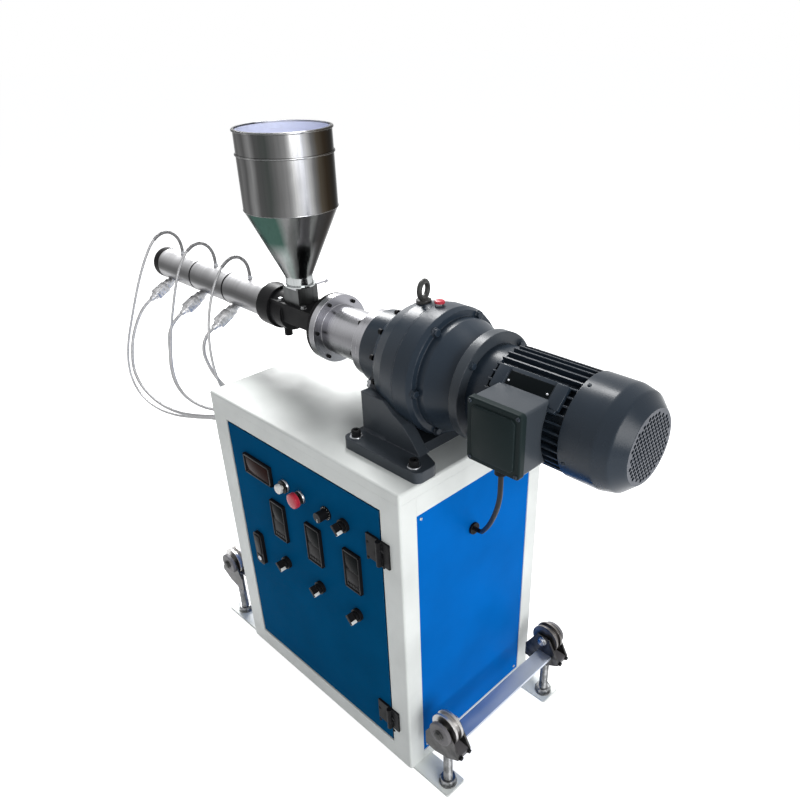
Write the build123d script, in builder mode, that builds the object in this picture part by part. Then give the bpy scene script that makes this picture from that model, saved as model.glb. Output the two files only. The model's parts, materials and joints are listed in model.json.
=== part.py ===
"""A single-screw laboratory plastic extruder on its control cabinet.

Millimetres. X runs along the screw, from the barrel's tip (-X) to the motor's fan (+X). The control door
faces -Y and Z is up. The origin is on the floor, under the middle of the cabinet.
"""

import os
from math import cos, pi, radians, sin, tan

from build123d import *

# Base and cabinet
cabinet_length = 600
cabinet_width = 410
cabinet_height = 735
bar_thickness = 6
bar_width = 54
bar_y = 170
right_reach = 101
left_reach = 138
post_x = 52
post_y = 40
top_thickness = 22
edge_radius = 5
lower_rail = 53
upper_rail = 53
end_lower_rail = 30
end_upper_rail = 63
end_rail_thickness = 30
panel_thickness = 2
panel_recess = 2

# Door and its hinges
door_gap = 5
door_skin = 2
door_recess = 1
stiffener_inset = 20
stiffener_width = 24
stiffener_depth = 12
hinge_height = 56
hinge_shares = (0.123, 0.853)
hinge_leaf = 5
hinge_leaf_width = 38
frame_leaf_width = 24
knuckle_radius = 6
hinge_pin_radius = 3
knuckle_gap = 0.5
leaf_clearance = 1

# Door instruments: centres are shares of the door's half width and of its height
controller_width = 48
controller_height = 96
controller_shares = ((-0.354, 0.698), (0.148, 0.698), (0.65, 0.698))
meter_width = 96
meter_height = 48
meter_share = (-0.584, 0.874)
bezel_depth = 6
instrument_depth = 62
cutout_margin = 2.5
cutout_clearance = 0.3
selector_shares = ((-0.337, 0.514), (0.16, 0.514), (0.658, 0.514), (0.58, 0.867))
speed_share = (0.35, 0.867)
start_share = (-0.202, 0.872)
stop_share = (0.012, 0.866)
control_bezel_radius = 14.5
control_bezel_depth = 8
control_body_radius = 11
control_body_depth = 42
dial_radius = 15
dial_depth = 3
shaft_radius = 5
shaft_depth = 14
running_clearance = 0.05
knob_gap = 0.8
knob_radius = 11.5
knob_disc = 5
knob_grip_width = 7
knob_grip_depth = 13
knob_turn = -45
speed_knob_radius = 11
speed_knob_depth = 20
button_travel = 4
button_gap = 6
start_cap_radius = 11
start_cap_depth = 6
stop_cap_radius = 17
stop_cap_depth = 9
cap_fillet = 2
lock_share = (-0.77, 0.491)
lock_width = 30
lock_height = 88
lock_depth = 9
lock_corner = 8

# Undercarriage: wheels on forks, each carried by a jack bolt on a ground bar. The cheek's lower edge is given
# as steps outward from its wheel and heights.
right_wheel_reach = 77
left_wheel_reach = 97
wheel_z = 185
wheel_radius = 34
wheel_groove_radius = 25
wheel_width = 20
flange_width = 5
axle_radius = 6
cheek_thickness = 4
cheek_gap = 5
cheek_high = 197
cheek_top_half = 17
cheek_edge = ((-46, 148), (-46, 112), (-20, 108), (16, 118))
web_low = 136
web_high = 144
web_in = 15
web_out = 46
jack_radius = 10
jack_nut_radius = 20
jack_nut_height = 16
cross_bar_in = 10
cross_bar_out = 27
cross_bar_low = 146
cross_bar_high = 152

# Along the screw, x is measured from a datum this far in from the cabinet's left end
datum_inset = 300
centre_height = 140

# Gearbox and motor
foot_left = 102
foot_right = 300
foot_half_width = 161
foot_thickness = 22
foot_corner = 14
foot_lug = 49
foot_waist = 235
foot_waist_inset = 73
pedestal_left = 112
pedestal_right = 172
pedestal_low_half = 118
pedestal_high_half = 82
web_inner = 92
web_outer = 116
web_edge = ((262, 0), (237, 31), (219, 49), (197, 61), (172, 81))
casing_left = 62
casing_nose_radius = 74
casing_shoulder = 106
casing_shoulder_radius = 79
casing_front = 136
casing_front_radius = 104
casing_round = 163
casing_round_radius = 114
casing_right = 200
ring_radius = 120
ring_shoulder = 235
ring_right = 245
ring_end_radius = 115
cover_step_radius = 104
cover_step = 262
flange_left = 316
cover_end_radius = 84
motor_flange_radius = 100
motor_flange_right = 335
bell_right = 372
bell_radius = 80
stator_right = 527
stator_radius = 75
fin_root = 2
fin_radius = 86
fin_thickness = 3
fin_count = 36
fan_cover_radius = 88
fan_cover_straight = 585
fan_cover_bend = 609
fan_bend_radius = 82
fan_cover_right = 630
fan_grille_radius = 62
terminal_gap = 60
terminal_length = 101
terminal_height = 108
terminal_rise = 3
terminal_front = 140
terminal_lid = 12
terminal_lid_lip = 2
terminal_back = 60
seat_clearance = 0.2
eyebolt_x = 165
eye_radius = 15
eye_wire = 5
eye_turn = -75
eyebolt_seat = 114
eyebolt_collar = 14
eyebolt_collar_height = 6
spotface_margin = 1

# Output ring, thrust housing, feed block and barrel; rises and drops are from the screw axis
output_left = 45
output_radius = 68
housing_flange_left = 32
housing_flange_radius = 67
housing_radius = 51
housing_big_right = -80
housing_big_left = -95
housing_big_radius = 71
feed_plate_left = -105
feed_plate_radius = 70
feed_left = -276
feed_half_width = 36
feed_drop = 13
feed_rise = 29
feed_neck_right = -235
feed_neck_radius = 42
nipple_x = -250
nipple_y = -14
nipple_radius = 9
nipple_drop = 54
collar_left = -316
collar_radius = 48
barrel_tip = -802
barrel_radius = 30
barrel_bore = 16
barrel_bore_depth = 120
tip_ring_length = 15
tip_ring_radius = 37
band_radius = 38
band_spans = ((-785, -624), (-620, -476), (-472, -330))
plug_offset = -55
plug_drop = 29
plug_angle = 27
plug_stem_radius = 9
plug_stem = 26
plug_radius = 14
plug_length = 54
plug_tail_radius = 7
plug_tail = 17
probe_radius = 4
probe_height = 8

# Hopper
hopper_x = -207
throat_half = 26
throat_wall = 4
gate_rise = 63
gate_thickness = 4
gate_half_width = 20
gate_handle_width = 6
gate_handle = 30
gate_knob_radius = 4
gate_clearance = 0.3
neck_flange = 5
neck_radius = 29
neck_rise = 87
cone_rise = 228
hopper_radius = 95
hopper_rise = 378
hopper_sheet = 3

# Leads: each goes from a plug or probe to a gland on the cabinet's left end
lead_diameter = 8
probe_lead_diameter = 6
plug_run = 24
probe_run = 18
gland_run = 28
gland_radius = 8
gland_length = 22
motor_cable_diameter = 9
box_gland_run = 24
grommet_run = 16
grommet_y = -10
grommet_drop = 174
grommet_radius = 11
grommet_length = 8
box_gland_drop = 20
box_gland_inset = 12

half_length = cabinet_length / 2
half_width = cabinet_width / 2
datum_x = datum_inset - half_length
axis_z = cabinet_height + centre_height
opening_half = half_length - post_x
door_low = lower_rail + door_gap
door_high = cabinet_height - upper_rail - door_gap
door_half = opening_half - door_gap
door_front = -half_width + door_recess
door_back = door_front + door_skin
hinge_x = opening_half - door_gap / 2
hinge_y = -half_width - knuckle_radius - knuckle_gap
band_centres = [datum_x + (low + high) / 2 for low, high in band_spans]
plug_reach = plug_stem + plug_length + plug_tail
left_face = -half_length + panel_recess
gland_face = left_face - gland_length
fork_half = wheel_width / 2 + cheek_gap
right_wheel_x = half_length + right_wheel_reach
left_wheel_x = -half_length - left_wheel_reach
wheel_places = {
    "wheel_front_right": (right_wheel_x, -bar_y),
    "wheel_back_right": (right_wheel_x, bar_y),
    "wheel_front_left": (left_wheel_x, -bar_y),
    "wheel_back_left": (left_wheel_x, bar_y),
}

os.makedirs("parts", exist_ok=True)


def save(piece, node):
    """Labels a finished piece and writes it under its node's name."""
    piece.part.label = node
    export_step(piece.part, f"parts/{node}.step")


def block(x, y, z, mode=Mode.ADD):
    """Adds a box from its low and high value along each axis."""
    with Locations(((x[0] + x[1]) / 2, (y[0] + y[1]) / 2, (z[0] + z[1]) / 2)):
        Box(abs(x[1] - x[0]), abs(y[1] - y[0]), abs(z[1] - z[0]), mode=mode)


def at(*xs):
    """Places x values along the screw in the cabinet's frame."""
    return tuple(datum_x + x for x in xs)


def on_door(share):
    """The (x, z) of a place given as shares of the door's half width and of its height."""
    return share[0] * door_half, door_low + share[1] * (door_high - door_low)


def rod_x(x, radius, y=0, z=axis_z, mode=Mode.ADD):
    """Adds a cylinder along X."""
    with Locations(Location(((x[0] + x[1]) / 2, y, z), (0, 90, 0))):
        Cylinder(radius, abs(x[1] - x[0]), mode=mode)


def rod_y(y, radius, x, z, mode=Mode.ADD):
    """Adds a cylinder along Y."""
    with Locations(Location((x, (y[0] + y[1]) / 2, z), (90, 0, 0))):
        Cylinder(radius, abs(y[1] - y[0]), mode=mode)


def rod_z(z, radius, x, y, mode=Mode.ADD):
    """Adds a cylinder along Z."""
    with Locations((x, y, (z[0] + z[1]) / 2)):
        Cylinder(radius, abs(z[1] - z[0]), mode=mode)


def turned(profile, mode=Mode.ADD):
    """Revolves an outline of (x, radius) points about the screw axis."""
    with BuildSketch(Plane.XZ) as outline:
        with BuildLine():
            Polyline(*[(datum_x + x, axis_z + radius) for x, radius in profile], close=True)
        make_face()
    revolve(outline.sketch, axis=Axis((0, 0, axis_z), (1, 0, 0)), mode=mode)


def plate_xz(points, y):
    """Adds a flat plate with an outline of (x, z) points between two y values."""
    with BuildSketch(Plane.XZ.offset(-max(y))) as outline:
        with BuildLine():
            Polyline(*points, close=True)
        make_face()
    extrude(outline.sketch, amount=abs(y[1] - y[0]))


# Base
with BuildPart() as ground_bars:
    for side in (-1, 1):
        block(
            (-half_length - left_reach, half_length + right_reach),
            (side * bar_y - bar_width / 2, side * bar_y + bar_width / 2),
            (0, bar_thickness),
        )
    fillet(edges().filter_by(Axis.Z), edge_radius)
save(ground_bars, "ground_bars")

inner_y = bar_y - bar_width / 2
with BuildPart() as base_plate:
    block((-half_length, half_length), (-inner_y, inner_y), (0, bar_thickness))
save(base_plate, "base_plate")

# Cabinet shell
post_top = cabinet_height - top_thickness
with BuildPart() as corner_posts:
    for side_x in (-1, 1):
        for side_y in (-1, 1):
            with BuildSketch(Plane.XY.offset(bar_thickness)):
                with Locations((side_x * (half_length - post_x / 2), side_y * (half_width - post_y / 2))):
                    Rectangle(post_x, post_y)
                outer = vertices().sort_by(lambda v: side_x * v.X + side_y * v.Y)[-1]
                fillet(outer, edge_radius)
            extrude(amount=post_top - bar_thickness)
save(corner_posts, "corner_posts")

rail_y = half_width - post_y
with BuildPart() as cabinet_rails:
    for side in (-1, 1):
        face = (side * half_width, side * rail_y)
        block((-opening_half, opening_half), face, (bar_thickness, lower_rail))
        block((-opening_half, opening_half), face, (cabinet_height - upper_rail, post_top))
        end = (side * half_length, side * (half_length - end_rail_thickness))
        block(end, (-rail_y, rail_y), (bar_thickness, end_lower_rail))
        block(end, (-rail_y, rail_y), (cabinet_height - end_upper_rail, post_top))
save(cabinet_rails, "cabinet_rails")

with BuildPart() as cabinet_top:
    block((-half_length, half_length), (-half_width, half_width), (post_top, cabinet_height))
    fillet(edges().filter_by(Axis.Z), edge_radius)
    fillet(faces().sort_by(Axis.Z)[-1].edges(), edge_radius)
save(cabinet_top, "cabinet_top")

end_panel_z = (end_lower_rail, cabinet_height - end_upper_rail)
grommet_z = cabinet_height - grommet_drop
with BuildPart() as right_end_panel:
    panel_x = (half_length - panel_recess - panel_thickness, half_length - panel_recess)
    block(panel_x, (-rail_y, rail_y), end_panel_z)
    rod_x(panel_x, grommet_radius, grommet_y, grommet_z, mode=Mode.SUBTRACT)
save(right_end_panel, "right_end_panel")

with BuildPart() as left_end_panel:
    block((left_face, left_face + panel_thickness), (-rail_y, rail_y), end_panel_z)
save(left_end_panel, "left_end_panel")

with BuildPart() as back_panel:
    block(
        (-opening_half, opening_half),
        (half_width - panel_recess - panel_thickness, half_width - panel_recess),
        (lower_rail, cabinet_height - upper_rail),
    )
save(back_panel, "back_panel")

# Door: a skin cut for the instruments, with two stiffeners behind it
cutouts = [(on_door(share), controller_width, controller_height) for share in controller_shares]
cutouts.append((on_door(meter_share), meter_width, meter_height))
selector_places = [on_door(share) for share in selector_shares]
speed_place = on_door(speed_share)
start_place = on_door(start_share)
stop_place = on_door(stop_share)
round_places = (*selector_places, speed_place, start_place, stop_place)
hinge_zs = [on_door((0, share))[1] for share in hinge_shares]
with BuildPart() as door_panel:
    block((-door_half, door_half), (door_front, door_back), (door_low, door_high))
    for (x, z), width, height in cutouts:
        half_w = width / 2 - cutout_margin + cutout_clearance
        half_h = height / 2 - cutout_margin + cutout_clearance
        block((x - half_w, x + half_w), (door_front, door_back), (z - half_h, z + half_h), mode=Mode.SUBTRACT)
    for x, z in round_places:
        rod_y((door_front, door_back), control_body_radius + cutout_clearance, x, z, mode=Mode.SUBTRACT)
save(door_panel, "door_panel")

with BuildPart() as door_stiffeners:
    for side in (-1, 1):
        outer = side * (door_half - stiffener_inset)
        block(
            (outer, outer - side * stiffener_width),
            (door_back, door_back + stiffener_depth),
            (door_low + stiffener_inset, door_high - stiffener_inset),
        )
save(door_stiffeners, "door_stiffeners")

third = hinge_height / 3
with BuildPart() as hinge_frame_leaves:
    for z in hinge_zs:
        low, high = z - hinge_height / 2, z + hinge_height / 2
        leaf_y = (-half_width - hinge_leaf + leaf_clearance, -half_width)
        leaf_x = hinge_x + knuckle_radius + leaf_clearance
        block((leaf_x, hinge_x + frame_leaf_width), leaf_y, (low, high))
        for span in ((low, low + third - knuckle_gap), (high - third + knuckle_gap, high)):
            block((hinge_x, leaf_x), leaf_y, span)
            rod_z(span, knuckle_radius, hinge_x, hinge_y)
        rod_z((low, high), hinge_pin_radius, hinge_x, hinge_y)
save(hinge_frame_leaves, "hinge_frame_leaves")

with BuildPart() as hinge_door_leaves:
    for z in hinge_zs:
        low, high = z - hinge_height / 2, z + hinge_height / 2
        leaf_y = (door_front - hinge_leaf, door_front)
        leaf_x = hinge_x - knuckle_radius - leaf_clearance
        block((hinge_x - hinge_leaf_width, leaf_x), leaf_y, (low, high))
        middle = (low + third, high - third)
        block((leaf_x, hinge_x), leaf_y, middle)
        rod_z(middle, knuckle_radius, hinge_x, hinge_y)
        rod_z(middle, hinge_pin_radius + running_clearance, hinge_x, hinge_y, mode=Mode.SUBTRACT)
save(hinge_door_leaves, "hinge_door_leaves")

with BuildPart() as door_instruments:
    for (x, z), width, height in cutouts:
        bezel = (door_front - bezel_depth, door_front)
        block((x - width / 2, x + width / 2), bezel, (z - height / 2, z + height / 2))
        half_w = width / 2 - cutout_margin
        half_h = height / 2 - cutout_margin
        block((x - half_w, x + half_w), (door_front, door_front + instrument_depth), (z - half_h, z + half_h))
save(door_instruments, "door_instruments")

bezel_face = door_front - control_bezel_depth
dial_face = door_front - dial_depth
with BuildPart() as control_bezels:
    for x, z in round_places:
        radius = dial_radius if (x, z) == speed_place else control_bezel_radius
        face = dial_face if (x, z) == speed_place else bezel_face
        rod_y((face, door_front), radius, x, z)
        rod_y((door_front, door_front + control_body_depth), control_body_radius, x, z)
        rod_y((face, face + shaft_depth + button_travel + button_gap), shaft_radius, x, z, mode=Mode.SUBTRACT)
save(control_bezels, "control_bezels")

for number, (x, z) in enumerate(selector_places, start=1):
    back = bezel_face - knob_gap
    with BuildPart() as selector_knob:
        rod_y((back, bezel_face + shaft_depth), shaft_radius - running_clearance, x, z)
        rod_y((back - knob_disc, back), knob_radius, x, z)
        grip = (back - knob_disc - knob_grip_depth, back - knob_disc)
        with Locations(Location((x, (grip[0] + grip[1]) / 2, z), (0, knob_turn, 0))):
            Box(knob_grip_width, knob_grip_depth, 2 * knob_radius)
    save(selector_knob, f"selector_knob_{number}")

with BuildPart() as speed_knob:
    x, z = speed_place
    back = dial_face - knob_gap
    rod_y((back, dial_face + shaft_depth), shaft_radius - running_clearance, x, z)
    rod_y((back - speed_knob_depth, back), speed_knob_radius, x, z)
save(speed_knob, "speed_knob")

caps = {
    "start_button": (start_place, start_cap_radius, start_cap_depth),
    "stop_button": (stop_place, stop_cap_radius, stop_cap_depth),
}
for node, ((x, z), radius, depth) in caps.items():
    back = bezel_face - button_gap
    with BuildPart() as button:
        rod_y((back, bezel_face + shaft_depth), shaft_radius - running_clearance, x, z)
        rod_y((back - depth, back), radius, x, z)
        fillet(edges().filter_by(GeomType.CIRCLE).sort_by(Axis.Y)[0], cap_fillet)
    save(button, node)

with BuildPart() as door_lock:
    with BuildSketch(Plane.XZ.offset(-door_front)):
        with Locations(on_door(lock_share)):
            RectangleRounded(lock_width, lock_height, lock_corner)
    extrude(amount=lock_depth)
save(door_lock, "door_lock")

# Undercarriage
with BuildPart() as jack_bolts:
    for x, y in wheel_places.values():
        rod_z((bar_thickness, web_low), jack_radius, x, y)
        with BuildSketch(Plane.XY.offset(bar_thickness)):
            with Locations((x, y)):
                RegularPolygon(jack_nut_radius, 6)
        extrude(amount=jack_nut_height)
save(jack_bolts, "jack_bolts")

with BuildPart() as fork_cheeks:
    for x, y in wheel_places.values():
        outward = 1 if x > 0 else -1
        web_end = x + outward * web_out
        for side in (-1, 1):
            inner = y + side * fork_half
            outline = [(x + outward * step, z) for step, z in cheek_edge]
            outline += [
                (web_end, web_low),
                (web_end, web_high),
                (x + outward * cheek_top_half, cheek_high),
                (x - outward * cheek_top_half, cheek_high),
            ]
            plate = (inner, inner + side * cheek_thickness)
            plate_xz(outline, plate)
            rod_y(plate, axle_radius + running_clearance, x, wheel_z, mode=Mode.SUBTRACT)
save(fork_cheeks, "fork_cheeks")

with BuildPart() as fork_webs:
    for x, y in wheel_places.values():
        outward = 1 if x > 0 else -1
        along = (x - outward * web_in, x + outward * web_out)
        block(along, (y - fork_half, y + fork_half), (web_low, web_high))
save(fork_webs, "fork_webs")

with BuildPart() as cross_bars:
    bar_end = bar_y - fork_half - cheek_thickness
    for x, outward in ((right_wheel_x, 1), (left_wheel_x, -1)):
        across = (x - outward * cross_bar_in, x + outward * cross_bar_out)
        block(across, (-bar_end, bar_end), (cross_bar_low, cross_bar_high))
save(cross_bars, "cross_bars")

for node, (x, y) in wheel_places.items():
    groove_half = wheel_width / 2 - flange_width
    with BuildPart() as wheel:
        rod_y((y - wheel_width / 2, y + wheel_width / 2), wheel_groove_radius, x, wheel_z)
        for side in (-1, 1):
            flange = (y + side * groove_half, y + side * wheel_width / 2)
            rod_y(flange, wheel_radius, x, wheel_z)
        axle_end = fork_half + cheek_thickness
        rod_y((y - axle_end, y + axle_end), axle_radius, x, wheel_z)
    save(wheel, node)

# Gearbox
foot_top = cabinet_height + foot_thickness
casing_profile = [
    (casing_left, 0),
    (casing_left, casing_nose_radius),
    (casing_shoulder, casing_shoulder_radius),
    (casing_front, casing_front_radius),
    (casing_round, casing_round_radius),
    (casing_right, ring_radius),
    (casing_right, 0),
]
cover_profile = [
    (casing_right, 0),
    (casing_right, ring_radius),
    (ring_shoulder, ring_radius),
    (ring_right, ring_end_radius),
    (ring_right, cover_step_radius),
    (cover_step, cover_step_radius),
    (flange_left, cover_end_radius),
    (flange_left, 0),
]
with BuildPart() as gearbox_foot:
    half_outline = [
        (foot_left, foot_half_width),
        (foot_right, foot_half_width),
        (foot_right, foot_half_width - foot_lug),
        (foot_waist, foot_half_width - foot_waist_inset),
    ]
    outline = half_outline + [(x, -y) for x, y in reversed(half_outline)]
    with BuildSketch(Plane.XY.offset(cabinet_height)):
        with BuildLine():
            Polyline(*[(datum_x + x, y) for x, y in outline], close=True)
        make_face()
        fillet(vertices(), foot_corner)
    extrude(amount=foot_thickness)
    with BuildSketch(Plane.YZ.offset(datum_x + pedestal_left)):
        with BuildLine():
            Polyline(
                (-pedestal_low_half, foot_top),
                (pedestal_low_half, foot_top),
                (pedestal_high_half, axis_z),
                (-pedestal_high_half, axis_z),
                close=True,
            )
        make_face()
    extrude(amount=pedestal_right - pedestal_left)
    web_outline = [(datum_x + x, foot_top + rise) for x, rise in web_edge]
    web_outline += [(datum_x + pedestal_left, foot_top + web_edge[-1][1]), (datum_x + pedestal_left, foot_top)]
    for side in (-1, 1):
        plate_xz(web_outline, (side * web_inner, side * web_outer))
    turned(casing_profile, mode=Mode.SUBTRACT)
    turned(cover_profile, mode=Mode.SUBTRACT)
save(gearbox_foot, "gearbox_foot")

boss_top = axis_z + eyebolt_seat
boss_x = datum_x + eyebolt_x
with BuildPart() as gearbox_casing:
    turned(casing_profile)
    rod_z((axis_z, boss_top), eyebolt_collar, boss_x, 0)
    spotface = (boss_top, boss_top + eyebolt_collar_height)
    rod_z(spotface, eyebolt_collar + spotface_margin, boss_x, 0, mode=Mode.SUBTRACT)
save(gearbox_casing, "gearbox_casing")

with BuildPart() as gearbox_cover:
    turned(cover_profile)
save(gearbox_cover, "gearbox_cover")

eye_z = boss_top + eyebolt_collar_height + eye_radius + eye_wire / 2
with BuildPart() as eyebolt:
    rod_z((boss_top, boss_top + eyebolt_collar_height), eyebolt_collar, boss_x, 0)
    with Locations(Location((boss_x, 0, eye_z), (0, 0, eye_turn))):
        Torus(eye_radius, eye_wire, rotation=(90, 0, 0))
save(eyebolt, "eyebolt")

# Motor
with BuildPart() as motor_flange:
    rod_x(at(flange_left, motor_flange_right), motor_flange_radius)
save(motor_flange, "motor_flange")

with BuildPart() as motor_body:
    rod_x(at(motor_flange_right, bell_right), bell_radius)
    rod_x(at(bell_right, stator_right), stator_radius)
    with BuildSketch(Plane.YZ.offset(datum_x + bell_right)):
        with Locations((0, axis_z)):
            with PolarLocations(0, fin_count):
                with Locations(((stator_radius - fin_root + fin_radius) / 2, 0)):
                    Rectangle(fin_radius - stator_radius + fin_root, fin_thickness)
    extrude(amount=stator_right - bell_right)
save(motor_body, "motor_body")

with BuildPart() as fan_cover:
    turned(
        [
            (stator_right, 0),
            (stator_right, fan_cover_radius),
            (fan_cover_straight, fan_cover_radius),
            (fan_cover_bend, fan_bend_radius),
            (fan_cover_right, fan_grille_radius),
            (fan_cover_right, 0),
        ]
    )
save(fan_cover, "fan_cover")

terminal_half = terminal_length / 2
terminal_x = datum_x + motor_flange_right + terminal_gap + terminal_half
terminal_half_height = terminal_height / 2
terminal_z = axis_z + terminal_rise
with BuildPart() as terminal_box:
    block(
        (terminal_x - terminal_half, terminal_x + terminal_half),
        (-terminal_front + terminal_lid, -terminal_back),
        (terminal_z - terminal_half_height, terminal_z + terminal_half_height),
    )
    fillet(edges().filter_by(Axis.Y), edge_radius)
    rod_x(at(motor_flange_right, stator_right), fin_radius + 2 * seat_clearance, mode=Mode.SUBTRACT)
save(terminal_box, "terminal_box")

with BuildPart() as terminal_box_lid:
    lid_half = terminal_half + terminal_lid_lip
    lid_half_height = terminal_half_height + terminal_lid_lip
    block(
        (terminal_x - lid_half, terminal_x + lid_half),
        (-terminal_front, -terminal_front + terminal_lid),
        (terminal_z - lid_half_height, terminal_z + lid_half_height),
    )
    fillet(edges().filter_by(Axis.Y), edge_radius + terminal_lid_lip)
    fillet(faces().sort_by(Axis.Y)[0].edges(), edge_radius / 2)
save(terminal_box_lid, "terminal_box_lid")

# Output ring, thrust housing and feed block
with BuildPart() as output_ring:
    rod_x(at(output_left, casing_left), output_radius)
save(output_ring, "output_ring")

with BuildPart() as thrust_housing:
    turned(
        [
            (housing_big_left, 0),
            (housing_big_left, housing_big_radius),
            (housing_big_right, housing_big_radius),
            (housing_big_right, housing_radius),
            (housing_flange_left, housing_radius),
            (housing_flange_left, housing_flange_radius),
            (output_left, housing_flange_radius),
            (output_left, 0),
        ]
    )
save(thrust_housing, "thrust_housing")

feed_low = axis_z - feed_drop
feed_high = axis_z + feed_rise
with BuildPart() as feed_block:
    rod_x(at(feed_plate_left, housing_big_left), feed_plate_radius)
    block(at(feed_left, feed_plate_left), (-feed_half_width, feed_half_width), (feed_low, feed_high))
    rod_x(at(feed_left, feed_neck_right), feed_neck_radius)
    rod_z((axis_z - nipple_drop, axis_z), nipple_radius, datum_x + nipple_x, nipple_y)
save(feed_block, "feed_block")

# Barrel and what it carries
with BuildPart() as barrel_collar:
    rod_x(at(collar_left, feed_left), collar_radius)
    rod_x(at(collar_left, feed_left), barrel_radius + seat_clearance, mode=Mode.SUBTRACT)
save(barrel_collar, "barrel_collar")

with BuildPart() as barrel:
    rod_x(at(barrel_tip, feed_left), barrel_radius)
    rod_x(at(barrel_tip, barrel_tip + tip_ring_length), tip_ring_radius)
    rod_x(at(barrel_tip, barrel_tip + barrel_bore_depth), barrel_bore, mode=Mode.SUBTRACT)
save(barrel, "barrel")

with BuildPart() as heater_bands:
    for span, centre in zip(band_spans, band_centres):
        rod_x(at(*span), band_radius)
        rod_x(at(*span), barrel_radius + seat_clearance, mode=Mode.SUBTRACT)
        rod_z((axis_z, axis_z + band_radius), probe_radius + seat_clearance, centre, 0, mode=Mode.SUBTRACT)
save(heater_bands, "heater_bands")

band_length = at(band_spans[0][0], band_spans[-1][1])
with BuildPart() as thermocouple_probes:
    for centre in band_centres:
        rod_z((axis_z + barrel_radius, axis_z + band_radius + probe_height), probe_radius, centre, 0)
    rod_x(band_length, barrel_radius + seat_clearance, mode=Mode.SUBTRACT)
save(thermocouple_probes, "thermocouple_probes")

plug_direction = Vector(0, -cos(radians(plug_angle)), -sin(radians(plug_angle)))
plug_feet = [Vector(centre + plug_offset, 0, axis_z - plug_drop) for centre in band_centres]
plug_steps = (
    (0, plug_stem, plug_stem_radius),
    (plug_stem, plug_length, plug_radius),
    (plug_stem + plug_length, plug_tail, plug_tail_radius),
)
with BuildPart() as heater_plugs:
    for foot in plug_feet:
        for start, length, radius in plug_steps:
            with BuildSketch(Plane(foot + plug_direction * start, z_dir=plug_direction)):
                Circle(radius)
            extrude(amount=length)
    rod_x(band_length, band_radius + seat_clearance, mode=Mode.SUBTRACT)
save(heater_plugs, "heater_plugs")

# Hopper on its throat, closed by a slide gate
hopper_at = datum_x + hopper_x
gate_z = axis_z + gate_rise
gate_top = gate_z + gate_thickness
guide_top = gate_top + gate_clearance
with BuildPart() as hopper_throat:
    throat = (-throat_half, throat_half)
    block((hopper_at - throat_half, hopper_at + throat_half), throat, (feed_high, guide_top))
    bore = throat_half - throat_wall
    block((hopper_at - bore, hopper_at + bore), (-bore, bore), (feed_high, guide_top), mode=Mode.SUBTRACT)
    slot = gate_half_width + gate_clearance
    slot_z = (gate_z - gate_clearance, guide_top)
    block((hopper_at - slot, hopper_at + slot), throat, slot_z, mode=Mode.SUBTRACT)
save(hopper_throat, "hopper_throat")

with BuildPart() as slide_gate:
    gate_right = hopper_at + gate_half_width
    handle_left = gate_right - gate_handle_width
    handle_end = throat_half + gate_handle
    block((hopper_at - gate_half_width, gate_right), throat, (gate_z, gate_top))
    block((handle_left, gate_right), (throat_half, handle_end), (gate_z, gate_top))
    rod_y((handle_end, handle_end + gate_handle_width), gate_knob_radius, handle_left, gate_z)
save(slide_gate, "slide_gate")

neck_high = axis_z + neck_rise
cone_high = axis_z + cone_rise
with BuildPart() as hopper_cone:
    with BuildSketch(Plane.XZ):
        with BuildLine():
            Polyline(
                (hopper_at + neck_radius - hopper_sheet, guide_top),
                (hopper_at + neck_radius + neck_flange, guide_top),
                (hopper_at + neck_radius + neck_flange, guide_top + hopper_sheet),
                (hopper_at + neck_radius, guide_top + hopper_sheet),
                (hopper_at + neck_radius, neck_high),
                (hopper_at + hopper_radius, cone_high),
                (hopper_at + hopper_radius - hopper_sheet, cone_high),
                (hopper_at + neck_radius - hopper_sheet, neck_high),
                close=True,
            )
        make_face()
    revolve(axis=Axis((hopper_at, 0, 0), (0, 0, 1)))
save(hopper_cone, "hopper_cone")

with BuildPart() as hopper_cylinder:
    wall_z = (cone_high, axis_z + hopper_rise)
    rod_z(wall_z, hopper_radius, hopper_at, 0)
    rod_z(wall_z, hopper_radius - hopper_sheet, hopper_at, 0, mode=Mode.SUBTRACT)
save(hopper_cylinder, "hopper_cylinder")

# Cable entries: six glands in the left end, the grommet in the right end, the gland under the terminal box.
# Each gland's place is its y and how far it is below the cabinet's top.
gland_places = {
    "heater_lead_1": (-131, 120),
    "probe_lead_1": (-150, 120),
    "heater_lead_2": (-93, 120),
    "probe_lead_2": (-112, 120),
    "heater_lead_3": (-105, 80),
    "probe_lead_3": (-125, 80),
}
box_low = terminal_z - terminal_half_height
box_gland_y = -terminal_front + terminal_lid + box_gland_inset
with BuildPart() as cable_glands:
    for y, drop in gland_places.values():
        rod_x((gland_face, left_face), gland_radius, y, cabinet_height - drop)
    grommet_x = half_length - panel_recess - panel_thickness
    rod_x((grommet_x, grommet_x + grommet_length), grommet_radius - seat_clearance, grommet_y, grommet_z)
    rod_z((box_low - box_gland_drop, box_low), grommet_radius, terminal_x, box_gland_y)
save(cable_glands, "cable_glands")

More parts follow.
